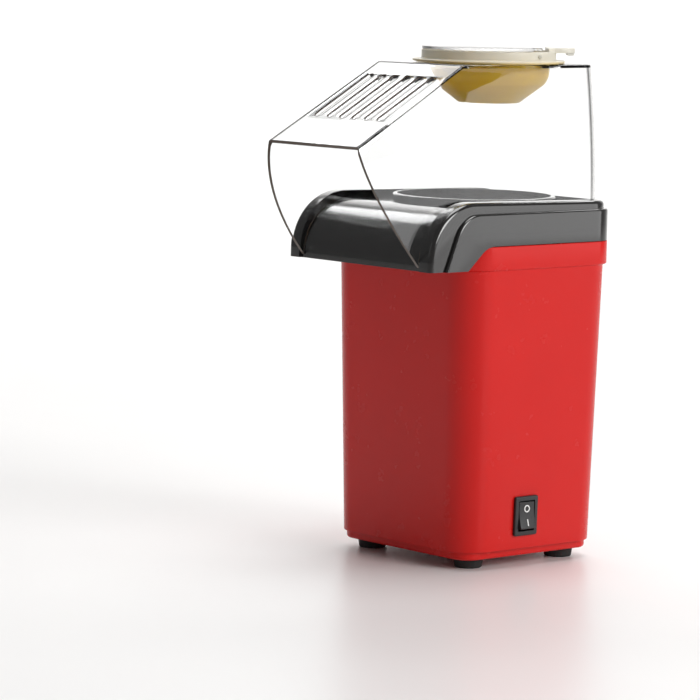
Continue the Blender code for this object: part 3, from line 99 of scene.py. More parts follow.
def grab(obj, test, kind="EDGE"):
    """Opens obj for editing with only the elements that pass the test selected."""
    take(obj)
    bpy.ops.object.mode_set(mode="EDIT")
    bpy.ops.mesh.select_mode(type=kind)
    bpy.ops.mesh.select_all(action="DESELECT")
    mesh = bmesh.from_edit_mesh(obj.data)
    for item in {"EDGE": mesh.edges, "FACE": mesh.faces, "VERT": mesh.verts}[kind]:
        if test(item):
            item.select_set(True)
    mesh.select_flush_mode()
    bmesh.update_edit_mesh(obj.data)


def release():
    bpy.ops.object.mode_set(mode="OBJECT")


def round_edges(obj, test, radius, segments=4):
    """Rounds the edges that pass the test."""
    grab(obj, test)
    bpy.ops.mesh.bevel(offset=radius * MM, segments=segments, affect="EDGES", clamp_overlap=False)
    release()


def fold(edge):
    """The angle between an edge's two faces, in degrees."""
    return math.degrees(edge.calc_face_angle(0))


# %% [markdown]
# Three ways to start a shape: a block, a rod, and an outline that is drawn point by point and
# then pulled out into a prism or spun into a turned piece.

# %% Starting shapes
def block(name, low, high):
    """A cube between two corners, in millimetres from the axis."""
    bpy.ops.object.select_all(action="DESELECT")
    low, high = Vector(low), Vector(high)
    bpy.ops.mesh.primitive_cube_add(size=1, location=at(*((low + high) / 2)), scale=(high - low) * MM)
    bpy.context.object.name = name
    bpy.ops.object.transform_apply(location=True, rotation=True, scale=True)
    return bpy.context.object


def rod(name, radius, low, high, centre=(0, 0), sides=64):
    """An upright cylinder, in millimetres from the axis."""
    bpy.ops.object.select_all(action="DESELECT")
    middle = at(centre[0], centre[1], (low + high) / 2)
    bpy.ops.mesh.primitive_cylinder_add(vertices=sides, radius=radius * MM, depth=(high - low) * MM,
                                        location=middle)
    bpy.context.object.name = name
    bpy.ops.object.transform_apply(location=True, rotation=True, scale=True)
    return bpy.context.object


def drawn(name, points, close=True):
    """An outline drawn point by point, as with the extrude key; it is left open in edit mode."""
    bpy.ops.object.select_all(action="DESELECT")
    bpy.ops.mesh.primitive_plane_add(size=MM)
    obj = bpy.context.object
    obj.name = name
    bpy.ops.object.mode_set(mode="EDIT")
    bpy.ops.mesh.select_mode(type="VERT")
    bpy.ops.mesh.select_all(action="SELECT")
    bpy.ops.mesh.merge(type="CENTER")
    bpy.ops.transform.translate(value=points[0])
    for before, after in zip(points, points[1:]):
        step = Vector(after) - Vector(before)
        bpy.ops.mesh.extrude_vertices_move(TRANSFORM_OT_translate={"value": step})
    if close:
        mesh = bmesh.from_edit_mesh(obj.data)
        mesh.verts.ensure_lookup_table()
        mesh.verts[0].select_set(True)
        bpy.ops.mesh.edge_face_add()
    return obj


def prism(name, outline, low, high, axis="X"):
    """A drawn outline pulled out along X, where its points are (y, z), or along Z, (x, y)."""
    place = (lambda u, v: at(low, u, v)) if axis == "X" else (lambda u, v: at(u, v, low))
    obj = drawn(name, [place(u, v) for u, v in outline])
    bpy.ops.mesh.select_all(action="SELECT")
    bpy.ops.mesh.edge_face_add()
    away = Vector((high - low, 0, 0)) if axis == "X" else Vector((0, 0, high - low))
    bpy.ops.mesh.select_all(action="SELECT")
    bpy.ops.mesh.extrude_region_move(TRANSFORM_OT_translate={"value": away * MM})
    bpy.ops.mesh.select_all(action="SELECT")
    bpy.ops.mesh.normals_make_consistent(inside=False)
    release()
    return obj


def turned(name, profile, centre=(0, 0), sides=96):
    """A drawn profile of (radius, height) points, spun round an upright axis."""
    closed = min(profile[0][0], profile[-1][0]) > 0
    obj = drawn(name, [at(centre[0] + r, centre[1], z) for r, z in profile], close=closed)
    bpy.ops.mesh.select_all(action="SELECT")
    bpy.ops.mesh.spin(steps=sides, angle=math.tau, center=at(*centre, 0), axis=(0, 0, 1))
    bpy.ops.mesh.select_all(action="SELECT")
    bpy.ops.mesh.remove_doubles(threshold=0.002 * MM)
    bpy.ops.mesh.normals_make_consistent(inside=False)
    release()
    return obj


def arc(centre, radius, start, end, steps):
    """Points on an arc, its ends included; angles in degrees."""
    angles = [math.radians(start + (end - start) * i / steps) for i in range(steps + 1)]
    return [(centre[0] + radius * math.cos(a), centre[1] + radius * math.sin(a)) for a in angles]


# %% [markdown]
# Finished shapes are combined with modifiers that are applied at once, so that each piece ends
# as one plain mesh.

# %% Modifiers and hand-in
def apply(obj, kind, **settings):
    take(obj)
    modifier = obj.modifiers.new(kind.lower(), kind)
    for key, value in settings.items():
        setattr(modifier, key, value)
    bpy.ops.object.modifier_apply(modifier=modifier.name)


def combine(obj, tool, operation="DIFFERENCE", solver="EXACT"):
    """Cuts tool out of obj, joins it on, or keeps what they share; the tool is used up."""
    apply(obj, "BOOLEAN", operation=operation, object=tool, solver=solver)
    bpy.data.objects.remove(tool)


def hand_in(obj, body, slot, nodes, smooth=32):
    """Shades a finished piece, hangs it on its body, and hides the nodes that it stands for."""
    take(obj)
    bpy.ops.object.shade_smooth_by_angle(angle=math.radians(smooth))
    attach(obj, body)
    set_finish(obj, slot)
    if nodes:
        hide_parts(*nodes)
    size = (obj.dimensions / MM)[:]
    print(f"{obj.name}: {len(obj.data.polygons)} faces, {size[0]:.1f} x {size[1]:.1f} x {size[2]:.1f} mm")
    return obj


# %% [markdown]
# ## The red housing
# The housing is one moulding: a tapered tube with a rounded-rectangular plan and a slightly
# proud shoulder band. It could be lofted through outlines, but a block is quicker. Its upright
# edges are rounded, two cuts add the rows of points at the step, and everything below the step
# is drawn in, once for the step and once more for the taper.

# %% Housing: the tapered tube
shell_low, shell_high = span("housing_shell")
SHOULDER_X = shell_high.x
SHOULDER_Y = shell_high.y
SHOULDER_CORNER = 18.5
SHELL_BOTTOM = shell_low.z
SHOULDER_TOP = shell_high.z
STEP = 158.4
STEP_PROUD = 1.5
TAPER = 3.5
WALL = 2.2

housing = block("housing", (-SHOULDER_X, -SHOULDER_Y, SHELL_BOTTOM), (SHOULDER_X, SHOULDER_Y, SHOULDER_TOP))
round_edges(housing, lambda e: abs(e.verts[0].co.z - e.verts[1].co.z) > MM, SHOULDER_CORNER, 16)
for height in (STEP, STEP - 0.7):
    grab(housing, lambda item: True)
    bpy.ops.mesh.bisect(plane_co=at(0, 0, height), plane_no=(0, 0, 1))
    release()


def draw_in(obj, below, amount, half_x, half_y):
    """Draws in everything below a height, by the same amount on each side."""
    grab(obj, lambda v: v.co.z < below * MM, "VERT")
    factor = ((half_x - amount) / half_x, (half_y - amount) / half_y, 1)
    bpy.ops.transform.resize(value=factor, center_override=AXIS)
    release()


draw_in(housing, STEP - 0.3, STEP_PROUD, SHOULDER_X, SHOULDER_Y)
draw_in(housing, SHELL_BOTTOM + 1, TAPER, SHOULDER_X - STEP_PROUD, SHOULDER_Y - STEP_PROUD)
print("housing tube:", len(housing.data.vertices), "points")

# %% [markdown]
# The ends are opened, the skin gets its wall, and the window for the switch, the cord's hole and
# the front of the shoulder are cut. The front follows the line where the black cheeks climb from
# the step to the top of the shoulder.

# %% Housing: wall, windows and the cheek line
SKIRT_FRONT = -55.6
SKIRT_SLOPE = 42.0
SKIRT_BEND = 13.0
GAP = 0.3


def cheek_line(lift=0.0, steps=10):
    """Where the cheeks meet the shell: (y, z) from the front up to the level rear part."""
    slope = math.radians(SKIRT_SLOPE)
    bend_y = SKIRT_FRONT + (SHOULDER_TOP - STEP) / math.tan(slope) + SKIRT_BEND * math.tan(slope / 2)
    bend = arc((bend_y, SHOULDER_TOP - SKIRT_BEND + lift), SKIRT_BEND, 90 + SKIRT_SLOPE, 90, steps)
    return [(SKIRT_FRONT, STEP + lift)] + bend


grab(housing, lambda f: abs(f.normal.z) > 0.99 and (f.calc_center_median().z < 20 * MM
                                                    or f.calc_center_median().z > (SHOULDER_TOP - 1) * MM), "FACE")
bpy.ops.mesh.delete(type="FACE")
release()
apply(housing, "SOLIDIFY", thickness=WALL * MM, offset=-1, use_even_offset=True)
round_edges(housing, lambda e: fold(e) > 60, 0.45, 3)
line = cheek_line()
combine(housing, prism("shoulder_cut", [(-90, STEP)] + line + [(line[-1][0], 200), (-90, 200)], -80, 80))
frame_low, frame_high = span("switch_frame")
switch_y = (frame_low.y + frame_high.y) / 2
switch_z = (frame_low.z + frame_high.z) / 2
WINDOW = (6.9, 9.7)   # half the switch window's width and height
combine(housing, block("switch_window", (45, switch_y - WINDOW[0], switch_z - WINDOW[1]),
                       (70, switch_y + WINDOW[0], switch_z + WINDOW[1])))
gland_low, gland_high = span("cord_gland")
gland_z = (gland_low.z + gland_high.z) / 2
hole = rod("cord_hole", 5.95, -15, 15)
hole.data.transform(Matrix.Translation(at(0, SHOULDER_Y, gland_z)) @ Matrix.Rotation(math.pi / 2, 4, "X")
                    @ Matrix.Translation(-AXIS))
combine(housing, hole)
housing = hand_in(housing, "base", "red_plastic", ["housing_shell"])

# %% [markdown]
# ## The black deck
# The deck is made from two overlapping blocks. The outer one forms the cheeks, flush with the
# shoulder. The inner one stands higher and further forward, and is the rolled lip round the
# hood. Both have the same kind of side view: level top, round nose, and the cheek line below.

# %% Deck: cheeks and lip
deck_low, deck_high = span("top_deck")
DECK_TOP = deck_high.z
NOSE_Y = -49.5
NOSE_RADIUS = NOSE_Y - deck_low.y
LIP_INSET = 2.0
LIP_FALL = 1.6
CHEEK_TOP = 187.8
CHEEK_NOSE_Y = -47.5
CHEEK_RADIUS = 16.5
CHEEK_LEAN = 22.5


def side_view(nose_y, radius, top, back, lean=0.0, fall=0.0):
    """Outline (y, z) of a deck block: top, round nose, front edge, cheek line, and back up."""
    nose = arc((nose_y, top - radius), radius, 90, 180 - lean, 28)
    end_y, end_z = nose[-1]
    toe = (end_y - (end_z - STEP - GAP) * math.tan(math.radians(lean)), STEP + GAP)
    return [(back, top - fall)] + nose + [toe] + cheek_line(GAP) + [(back, SHOULDER_TOP + GAP)]


def deck_block(name, half, back, corner, rounding, outline):
    """A side view pulled out to a block, with round rear corners and a rounded upper edge."""
    body = prism(name, outline, -half, half)
    upright = lambda e: abs(e.verts[0].co.z - e.verts[1].co.z) > 5 * MM and e.verts[0].co.y > at(0, back - 1, 0).y
    round_edges(body, lambda e: upright(e) and e.verts[1].co.y > at(0, back - 1, 0).y, corner, 14)
    below = lambda v: v.co.z < (SHOULDER_TOP + GAP + 0.1) * MM and v.co.y > at(0, SKIRT_FRONT - 0.1, 0).y
    low = lambda v: below(v) or v.co.z < (STEP + GAP + 0.1) * MM
    round_edges(body, lambda e: fold(e) > 40 and not all(low(v) for v in e.verts), rounding, 6)
    return body


deck = deck_block("deck", SHOULDER_X, SHOULDER_Y, SHOULDER_CORNER, 1.4,
                  side_view(CHEEK_NOSE_Y, CHEEK_RADIUS, CHEEK_TOP, SHOULDER_Y, lean=CHEEK_LEAN))
lip = deck_block("lip", SHOULDER_X - LIP_INSET, SHOULDER_Y - LIP_INSET, SHOULDER_CORNER - 1.5, 2.6,
                 side_view(NOSE_Y, NOSE_RADIUS, DECK_TOP, SHOULDER_Y - LIP_INSET, fall=LIP_FALL))
print("deck blocks:", len(deck.data.polygons), "and", len(lip.data.polygons), "faces")

# %% [markdown]
# The trough is the hood's seat and the chute in one: a level floor that rolls over the nose, a
# little behind the lip. It is cut from the lip before the two blocks are joined, so its upper
# edge can still be rounded cleanly.

# %% Deck: trough, chute and mouth
DECK_FLOOR = 189.6
TROUGH_HALF = 48.2
TROUGH_REAR = 51.0
CHUTE_RADIUS = NOSE_RADIUS - 1.5
MOUTH = 41.0

floor_line = [(TROUGH_REAR, DECK_FLOOR)] + arc((NOSE_Y, DECK_FLOOR - CHUTE_RADIUS), CHUTE_RADIUS, 90, 180, 32)
floor_line += [(NOSE_Y - CHUTE_RADIUS, STEP - 10), (-120, STEP - 10), (-120, 230), (TROUGH_REAR, 230)]
trough = prism("trough", floor_line, -TROUGH_HALF, TROUGH_HALF)
rear = at(0, TROUGH_REAR - 1, 0).y
round_edges(trough, lambda e: all(v.co.y > rear for v in e.verts)
            and abs(e.verts[0].co.z - e.verts[1].co.z) > 5 * MM, 9.0, 10)
combine(lip, trough)
combine(deck, lip, "UNION")
ROOM_TOP = 187.1   # the hollow under the deck, which leaves room for the deck's tongue
combine(deck, block("tongue_room", (-SHOULDER_X + 8, -SHOULDER_Y + 8, STEP - 5),
                    (SHOULDER_X - 8, SHOULDER_Y - 8, ROOM_TOP)))
collar = rod("collar", MOUTH + 2.5, 185.0, DECK_TOP - 0.5, sides=128)
round_edges(collar, lambda e: all(v.co.z > (DECK_TOP - 1) * MM for v in e.verts), 1.0, 4)
combine(deck, collar, "UNION")
combine(deck, rod("mouth", MOUTH, 170, 240, sides=128))
deck = hand_in(deck, "base", "black_gloss", ["top_deck"])

# %% [markdown]
# ## The clear hood
# The hood is a thin barrel-shaped shell. Its side walls swell outwards going down, and its mouth
# has curved edges. A box could be pushed into shape corner by corner, but each line down the wall
# follows the same curve, so a grid is laid over one half and its points are moved onto the curve.

# %% Hood: half of the skin
HOOD_WALL = 2.0
hood_low, hood_high = span("hood")
HOOD_TOP = hood_high.z
FOLD_Y = -39.6
LIP_Y = hood_low.y
LIP_Z = 222.6
HALF_LOW = hood_high.x
HALF_LIP = 35.9
HALF_FOLD = 33.9
HALF_REAR = 41.0
HOOD_REAR = hood_high.y
HOOD_CORNER = 9.0
BULGE = 1.85
SWEEP = 1.65
LEVELS = 20


def wall_point(top, bottom, half_top, half_bottom, share):
    """A point of a line down the wall; share is 0 at the top and 1 at the bottom."""
    rise = 1 - share
    y = bottom[0] + (top[0] - bottom[0]) * (1 - (1 - rise) ** SWEEP)
    return at(half_bottom - (half_bottom - half_top) * rise ** BULGE, y, bottom[1] + (top[1] - bottom[1]) * rise)


def wall_lines():
    """The two ends of each line: (top y and z, bottom y and z, half width at the top and at the bottom)."""
    seat = DECK_FLOOR + GAP
    lower = arc((NOSE_Y, DECK_FLOOR - CHUTE_RADIUS), CHUTE_RADIUS + GAP, 180, 90, 20) + [(FOLD_Y, seat)]
    lines = []
    for i, low in enumerate(lower):
        share = i / (len(lower) - 1)
        top = (LIP_Y + (FOLD_Y - LIP_Y) * share, LIP_Z + (HOOD_TOP - LIP_Z) * share)
        lines.append((top, low, HALF_LIP + (HALF_FOLD - HALF_LIP) * share, HALF_LOW))
    corner = arc((HALF_LOW - HOOD_CORNER, HOOD_REAR - HOOD_CORNER), HOOD_CORNER, 0, 90, 10)
    for half, y in [(HALF_LOW, 0.0), (HALF_LOW, 20.0)] + corner + [(0, HOOD_REAR)]:
        full = HALF_FOLD + (HALF_REAR - HALF_FOLD) * (y - FOLD_Y) / (HOOD_REAR - FOLD_Y)
        lines.append(((y, HOOD_TOP), (y, seat), half * full / HALF_LOW, half))
    return lines


lines = wall_lines()
bpy.ops.object.select_all(action="DESELECT")
bpy.ops.mesh.primitive_grid_add(x_subdivisions=len(lines) - 1, y_subdivisions=LEVELS, size=2)
hood = bpy.context.object
hood.name = "hood_shell"
for vert in hood.data.vertices:
    column = round((vert.co.x + 1) / 2 * (len(lines) - 1))
    vert.co = wall_point(*lines[column], (vert.co.y + 1) / 2)
print("hood wall:", len(lines), "lines of", LEVELS + 1, "points")

# %% [markdown]
# The upper edge of the wall is extruded and squeezed flat onto the middle plane, which makes the
# sloping panel and the top. Mirroring gives the other half. Solidify gives the wall its
# thickness first, and the edges are rounded afterwards, because a wall that is thicker than the
# rounding would fold over itself on the inside.

# %% Hood: panels, wall and rounded edges
rim = [wall_point(*line, 0) for line in lines]
grab(hood, lambda e: all(any((v.co - p).length < 0.01 * MM for p in rim) for v in e.verts))
bpy.ops.mesh.extrude_edges_move()
bpy.ops.transform.resize(value=(0, 1, 1), center_override=AXIS)
bpy.ops.mesh.select_all(action="SELECT")
bpy.ops.mesh.remove_doubles(threshold=0.01 * MM)
release()
apply(hood, "MIRROR", merge_threshold=0.00002, use_clip=True)
grab(hood, lambda item: True)
bpy.ops.mesh.normals_make_consistent(inside=False)
release()
roof = max(hood.data.polygons, key=lambda f: f.center.z)
if roof.normal.z < 0:
    grab(hood, lambda item: True)
    bpy.ops.mesh.flip_normals()
    release()
# Slot 1 (rims and slot edges) gets a dark opaque finish: painted shade for a clear shell's dark edges.
for _ in range(3):
    hood.data.materials.append(None)   # the shell, its rims and the slots' edges, and the slots' walls
apply(hood, "SOLIDIFY", thickness=HOOD_WALL * MM, offset=-1, use_even_offset=True, material_offset_rim=1)
ridge_low = (LIP_Z - 3) * MM
outer_ridge = lambda e: fold(e) > 22 and e.is_convex and all(v.co.z > ridge_low for v in e.verts)
behind_lip = lambda e: e.verts[0].co.y > at(0, LIP_Y - 0.01, 0).y
round_edges(hood, lambda e: outer_ridge(e) and fold(e) < 86 and behind_lip(e), 1.1, 4)
CUP_Y = 9.0
combine(hood, rod("hood_mouth", 33.5, HOOD_TOP - 20, HOOD_TOP + 20, centre=(0, CUP_Y), sides=128))
slope = Vector((0, FOLD_Y - LIP_Y, HOOD_TOP - LIP_Z))
SLOTS = 6
SLOT_PITCH = 9.9
SLOT_WIDTH = 4.6
for i in range(SLOTS):
    x = (i - (SLOTS - 1) / 2) * SLOT_PITCH
    half = SLOT_WIDTH / 2
    start, end = slope.length * 0.31, slope.length * 0.84
    outline = arc((x, end - half), half, 0, 180, 14) + arc((x, start + half), half, 180, 360, 14)
    cutter = prism(f"slot_{i}", outline, -15, 15, axis="Z")
    lean = Matrix.Rotation(math.atan2(slope.z, slope.y), 4, "X")
    cutter.data.transform(Matrix.Translation(at(0, LIP_Y, LIP_Z)) @ lean @ Matrix.Translation(-AXIS))
    for _ in range(3):
        cutter.data.materials.append(None)
    for face in cutter.data.polygons:
        face.material_index = 2
    combine(hood, cutter)
# The slots' outlines are bevelled in slot 1, so they carry the painted shade of the dark rim finish.
grab(hood, lambda e: {face.material_index for face in e.link_faces} == {0, 2})
bpy.ops.mesh.bevel(offset=0.4 * MM, segments=2, affect="EDGES", material=1)
release()
print("rim and slot faces:", [sum(face.material_index == i for face in hood.data.polygons) for i in (1, 2)])
hood = hand_in(hood, "hood", "clear_plastic", ["hood"], smooth=24)

# %% [markdown]
# ## The butter cup and its lid
# The cup is turned: bowl, flange and ring are one profile. The lid is a thin disc with a straight
# rear edge, and swings on a pin that goes through the ring. Behind the pin a bridge carries the
# handle.

# %% Cup: bowl, flange, ring, bridge and handle
pin_low, pin_high = span("lid_pin")
CUP_TURN = math.radians(50)
CUP_RING = 36.0
CUP_WALL = 1.6
MOUTH_RADIUS = 32.5
SEAT = HOOD_TOP + GAP
FLANGE_TOP = SEAT + 1.4
RING_TOP = FLANGE_TOP + 4.9
BOWL_FLOOR = HOOD_TOP - 21.5
LID_CHORD = 26.0
PIN_Z = (pin_low.z + pin_high.z) / 2
LID_THICK = 1.5
HANDLE_REACH = 46.0
HANDLE_LOW = RING_TOP - 0.8

outside = [(0, BOWL_FLOOR)] + arc((15.5, BOWL_FLOOR + 2.2), 2.2, -90, -50, 4)
outside += arc((20.5, HOOD_TOP - 4.0), 11.6, -42, -6, 12) + [(MOUTH_RADIUS, SEAT)]
flange = arc((40.1, SEAT + 0.7), 0.7, -90, 90, 6)
flange += [(CUP_RING + 0.5, FLANGE_TOP), (CUP_RING, FLANGE_TOP + 0.5)]
ring = arc((CUP_RING - 0.5, RING_TOP - 0.5), 0.5, 0, 90, 4)
ring += arc((CUP_RING - CUP_WALL + 0.5, RING_TOP - 0.5), 0.5, 90, 180, 4)
ring += [(CUP_RING - CUP_WALL, FLANGE_TOP), (MOUTH_RADIUS - CUP_WALL, FLANGE_TOP - 0.6)]
inside = [(r - CUP_WALL, z) for r, z in reversed(arc((20.5, HOOD_TOP - 4.0), 11.6, -40, -6, 12))]
inside += [(15.2, BOWL_FLOOR + CUP_WALL), (0, BOWL_FLOOR + CUP_WALL)]
cup = turned("cup_bowl", outside + flange + ring + inside, centre=(0, CUP_Y))


def turn_with_cup(obj):
    """Turns a piece that was drawn with the hinge on +X to where the hinge is."""
    middle = Matrix.Translation(at(0, CUP_Y, 0))
    obj.data.transform(middle @ Matrix.Rotation(CUP_TURN, 4, "Z") @ Matrix.Translation(-AXIS))
    return obj


LID_BARREL = 1.9
LID_TOP = RING_TOP + GAP + LID_THICK


def pin_rod(name, radius, half_length):
    """A rod that lies on the hinge's axis, before the cup is turned."""
    made = rod(name, radius, -half_length, half_length, sides=40)
    lay = Matrix.Translation(at(LID_CHORD, 0, PIN_Z)) @ Matrix.Rotation(math.pi / 2, 4, "X")
    made.data.transform(lay @ Matrix.Translation(-AXIS))
    return made


back = LID_CHORD + math.hypot(LID_BARREL, LID_TOP - PIN_Z) + GAP
reach = math.degrees(math.acos(back / CUP_RING))
bridge = prism("bridge", arc((0, 0), CUP_RING - 0.1, -reach, reach, 24), HANDLE_LOW, LID_TOP, "Z")
handle_outline = arc((HANDLE_REACH - 9, 0), 9, -90, 90, 24) + [(back + 1, 9), (back + 1, -9)]
handle = prism("handle", handle_outline, HANDLE_LOW, LID_TOP, "Z")
tip = prism("handle_tip", arc((HANDLE_REACH - 9, 0), 8.6, -58, 58, 20), RING_TOP - 2.1, RING_TOP + 1.0, "Z")
combine(handle, tip, "UNION")
combine(handle, bridge, "UNION")
round_edges(handle, lambda e: fold(e) > 60, 0.3, 3)
combine(cup, turn_with_cup(handle), "UNION", "MANIFOLD")
combine(cup, turn_with_cup(pin_rod("pin_hole", 1.2, 60)), solver="MANIFOLD")
cup = hand_in(cup, "cup", "amber_plastic", ["butter_cup"], smooth=35)

# %% Lid and hinge pin
LID_NECK = 14.5
near = math.degrees(math.acos((LID_CHORD + LID_BARREL) / CUP_RING))
lid = prism("lid_plate", arc((0, 0), CUP_RING, near, 360 - near, 96), RING_TOP + GAP, LID_TOP, "Z")
for side in (-1, 1):
    ends = sorted((side * LID_NECK, side * 40))
    combine(lid, block("lid_notch", (LID_CHORD - 3.5, ends[0], 262), (60, ends[1], 290)))
round_edges(lid, lambda e: fold(e) > 60, 0.35, 3)
barrel_half = math.sqrt((CUP_RING - CUP_WALL) ** 2 - (LID_CHORD + LID_BARREL) ** 2) - 1.2
combine(lid, pin_rod("lid_barrel", LID_BARREL, barrel_half), "UNION")
web = LID_BARREL * 0.8
combine(lid, block("lid_web", (LID_CHORD - web, -14.1, PIN_Z), (LID_CHORD + web, 14.1, RING_TOP + 1)), "UNION")
combine(lid, pin_rod("lid_bore", 1.2, 30))
lid = hand_in(turn_with_cup(lid), "lid", "clear_plastic", ["cup_lid"], smooth=35)

pin_reach = math.sqrt(CUP_RING ** 2 - LID_CHORD ** 2) + 1.2
pin = turned("hinge_pin", [(0, -pin_reach), (0.8, -pin_reach), (1.1, -pin_reach + 0.3), (1.1, pin_reach - 0.3),
                           (0.8, pin_reach), (0, pin_reach)], sides=32)
lay = Matrix.Translation(at(LID_CHORD, 0, PIN_Z)) @ Matrix.Rotation(math.pi / 2, 4, "X")
pin.data.transform(lay @ Matrix.Translation(-AXIS))
pin = hand_in(turn_with_cup(pin), "cup", "amber_plastic", ["lid_pin"])

# %% [markdown]
# ## The rocker switch
# The switch is a standard snap-in one: a frame with a raised bezel, and a rocker whose pressed
# end lies deep in the frame. Each piece is drawn round the axis, facing +X, and is then laid on
# the leaning wall. The pressed-in end shows that the maker is off.

# %% Switch: where it sits
LEAN = math.atan(TAPER / (STEP - SHELL_BOTTOM))
WALL_X = SHOULDER_X - STEP_PROUD - math.tan(LEAN) * (STEP - switch_z)
TILT = math.radians(9.0)


def lay_on_wall(obj, tilt=0.0):
    """Moves a piece that was drawn round the axis, facing +X, to the switch's place on the wall."""
    turn = Matrix.Rotation(LEAN, 4, "Y") @ Matrix.Rotation(-tilt, 4, "Y")
    obj.data.transform(Matrix.Translation(at(WALL_X, switch_y, switch_z)) @ turn @ Matrix.Translation(-AXIS))
    return obj


print("wall at the switch:", round(WALL_X, 2), "mm from the axis")

# %% Switch: frame and bezel
along_x = lambda e: abs(e.verts[0].co.x - e.verts[1].co.x) > MM
bezel = block("switch_bezel", (0.3, -8.0, -10.5), (1.8, 8.0, 10.5))
round_edges(bezel, along_x, 1.2, 5)
round_edges(bezel, lambda e: fold(e) > 60 and all(v.co.x > 1.7 * MM for v in e.verts), 0.5, 3)
combine(bezel, block("switch_body", (-13, -6.6, -9.4), (0.8, 6.6, 9.4)), "UNION")
window = block("rocker_window", (-9, -5.75, -8.15), (10, 5.75, 8.15))
round_edges(window, along_x, 0.5, 3)
combine(bezel, window)
for i, height in enumerate((-5.5, 5.5)):
    combine(bezel, block(f"terminal_{i}", (-20, -2.4, height - 0.4), (-12, 2.4, height + 0.4)), "UNION")
switch = hand_in(lay_on_wall(bezel), "base", "black_satin", ["switch_frame"])

# %% [markdown]
# The rocker's face is hollowed like a shallow saddle. Its side view is drawn once and pulled out
# to the rocker's width. The O and I are thin raised marks that become part of the rocker's mesh,
# and keep a white finish of their own.

# %% Switch: the rocker and its marks
HALF_ROCKER = 7.45
RIDGE = 2.6 + math.tan(TILT) * HALF_ROCKER * 0.35
SADDLE = 0.9


def face_x(z):
    """How far the rocker's face stands out at a height above its pivot."""
    return RIDGE - SADDLE * (1 - (z / HALF_ROCKER) ** 2)


heights = [HALF_ROCKER * t / 8 * 0.96 for t in range(-8, 9)]
side = [(-4.1, -5), (-HALF_ROCKER, 0)] + [(z, face_x(z)) for z in heights] + [(HALF_ROCKER, 0), (4.1, -5)]
rocker = prism("rocker", side, -5.4, 5.4)
# the outline was drawn as (y, z) = (height, depth), so the axes are put in their places here
stand = Matrix(((0, 0, 1, 0), (-1, 0, 0, 0), (0, 1, 0, 0), (0, 0, 0, 1)))
rocker.data.transform(Matrix.Translation(AXIS) @ stand @ Matrix.Translation(-AXIS))
grab(rocker, lambda item: True)
bpy.ops.mesh.normals_make_consistent(inside=False)
release()
round_edges(rocker, lambda e: fold(e) > 45 and all(v.co.x > 0.5 * MM for v in e.verts), 0.45, 3)


def on_face(obj, z):
    """Stands a mark that was drawn lying on the table upright on the rocker's face at a height."""
    slant = math.atan(2 * SADDLE * z / HALF_ROCKER ** 2)
    turn = Matrix.Rotation(slant, 4, "Y") @ Matrix.Rotation(math.pi / 2, 4, "Y")
    obj.data.transform(Matrix.Translation(at(face_x(z) - 0.03, 0, z)) @ turn @ Matrix.Translation(-AXIS))
    return obj


ring_mark = turned("mark_off", [(1.35, 0), (1.95, 0), (1.95, 0.26), (1.35, 0.26)], sides=40)
bar_mark = block("mark_on", (-1.8, -0.33, 0), (1.8, 0.33, 0.26))
round_edges(bar_mark, lambda e: fold(e) > 60, 0.05, 2)
marks = [on_face(ring_mark, 3.5), on_face(bar_mark, -3.9)]
print("marks:", sum(len(m.data.polygons) for m in marks), "faces")

# %% [markdown]
# ## The base, its feet and its screws
# The base plate is an inset lip under the housing. It is a shallow box with an air intake of
# twelve slots, four bosses for the screws and four sockets for the rubber feet.

# %% Base plate
base_low, base_high = span("base_plate")
foot_low, foot_high = span("foot_rear_right")
screw_low, screw_high = span("base_screw_rear_right")
FOOT = ((foot_low.x + foot_high.x) / 2, (foot_low.y + foot_high.y) / 2)
SCREW = ((screw_low.x + screw_high.x) / 2, (screw_low.y + screw_high.y) / 2)
PLATE = 2.5
CORNERS = [(x, y) for x in (-1, 1) for y in (-1, 1)]


def tray(name, inward, low, high, corner):
    """A block with the base plate's outline, drawn in by a distance, and with round corners."""
    x, y = base_high.x - inward, base_high.y - inward
    made = block(name, (-x, -y, low), (x, y, high))
    round_edges(made, lambda e: abs(e.verts[0].co.z - e.verts[1].co.z) > MM, corner, 10)
    return made


base = tray("base", 0, base_low.z, base_high.z, 10.5)
round_edges(base, lambda e: all(v.co.z < (base_low.z + 0.1) * MM for v in e.verts), 1.4, 4)
combine(base, tray("base_hollow", 2.2, base_low.z + PLATE, base_high.z + 5, 8.3))
for i in range(12):
    slot_cut = block(f"intake_{i}", (15, -1.5, 1), (27, 1.5, 14))
    round_edges(slot_cut, lambda e: abs(e.verts[0].co.z - e.verts[1].co.z) > MM, 1.45, 5)
    around = Matrix.Rotation(math.tau * i / 12, 4, "Z")
    slot_cut.data.transform(Matrix.Translation(AXIS) @ around @ Matrix.Translation(-AXIS))
    combine(base, slot_cut)
for x, y in CORNERS:
    combine(base, rod("boss", 3.8, base_low.z + 1, base_high.z, (x * SCREW[0], y * SCREW[1]), 32), "UNION")
for x, y in CORNERS:
    combine(base, rod("sink", 3.15, 0, base_low.z + 2.3, (x * SCREW[0], y * SCREW[1]), 32))
    combine(base, rod("screw_hole", 1.6, 0, 40, (x * SCREW[0], y * SCREW[1]), 24))
    combine(base, rod("foot_socket", 2.95, 0, 40, (x * FOOT[0], y * FOOT[1]), 24))
base = hand_in(base, "base", "red_plastic", ["base_plate"])

# %% [markdown]
# A foot is a turned rubber plug. It is modelled once and copied to the other three corners, and
# so is the screw, whose head has a cross recess.

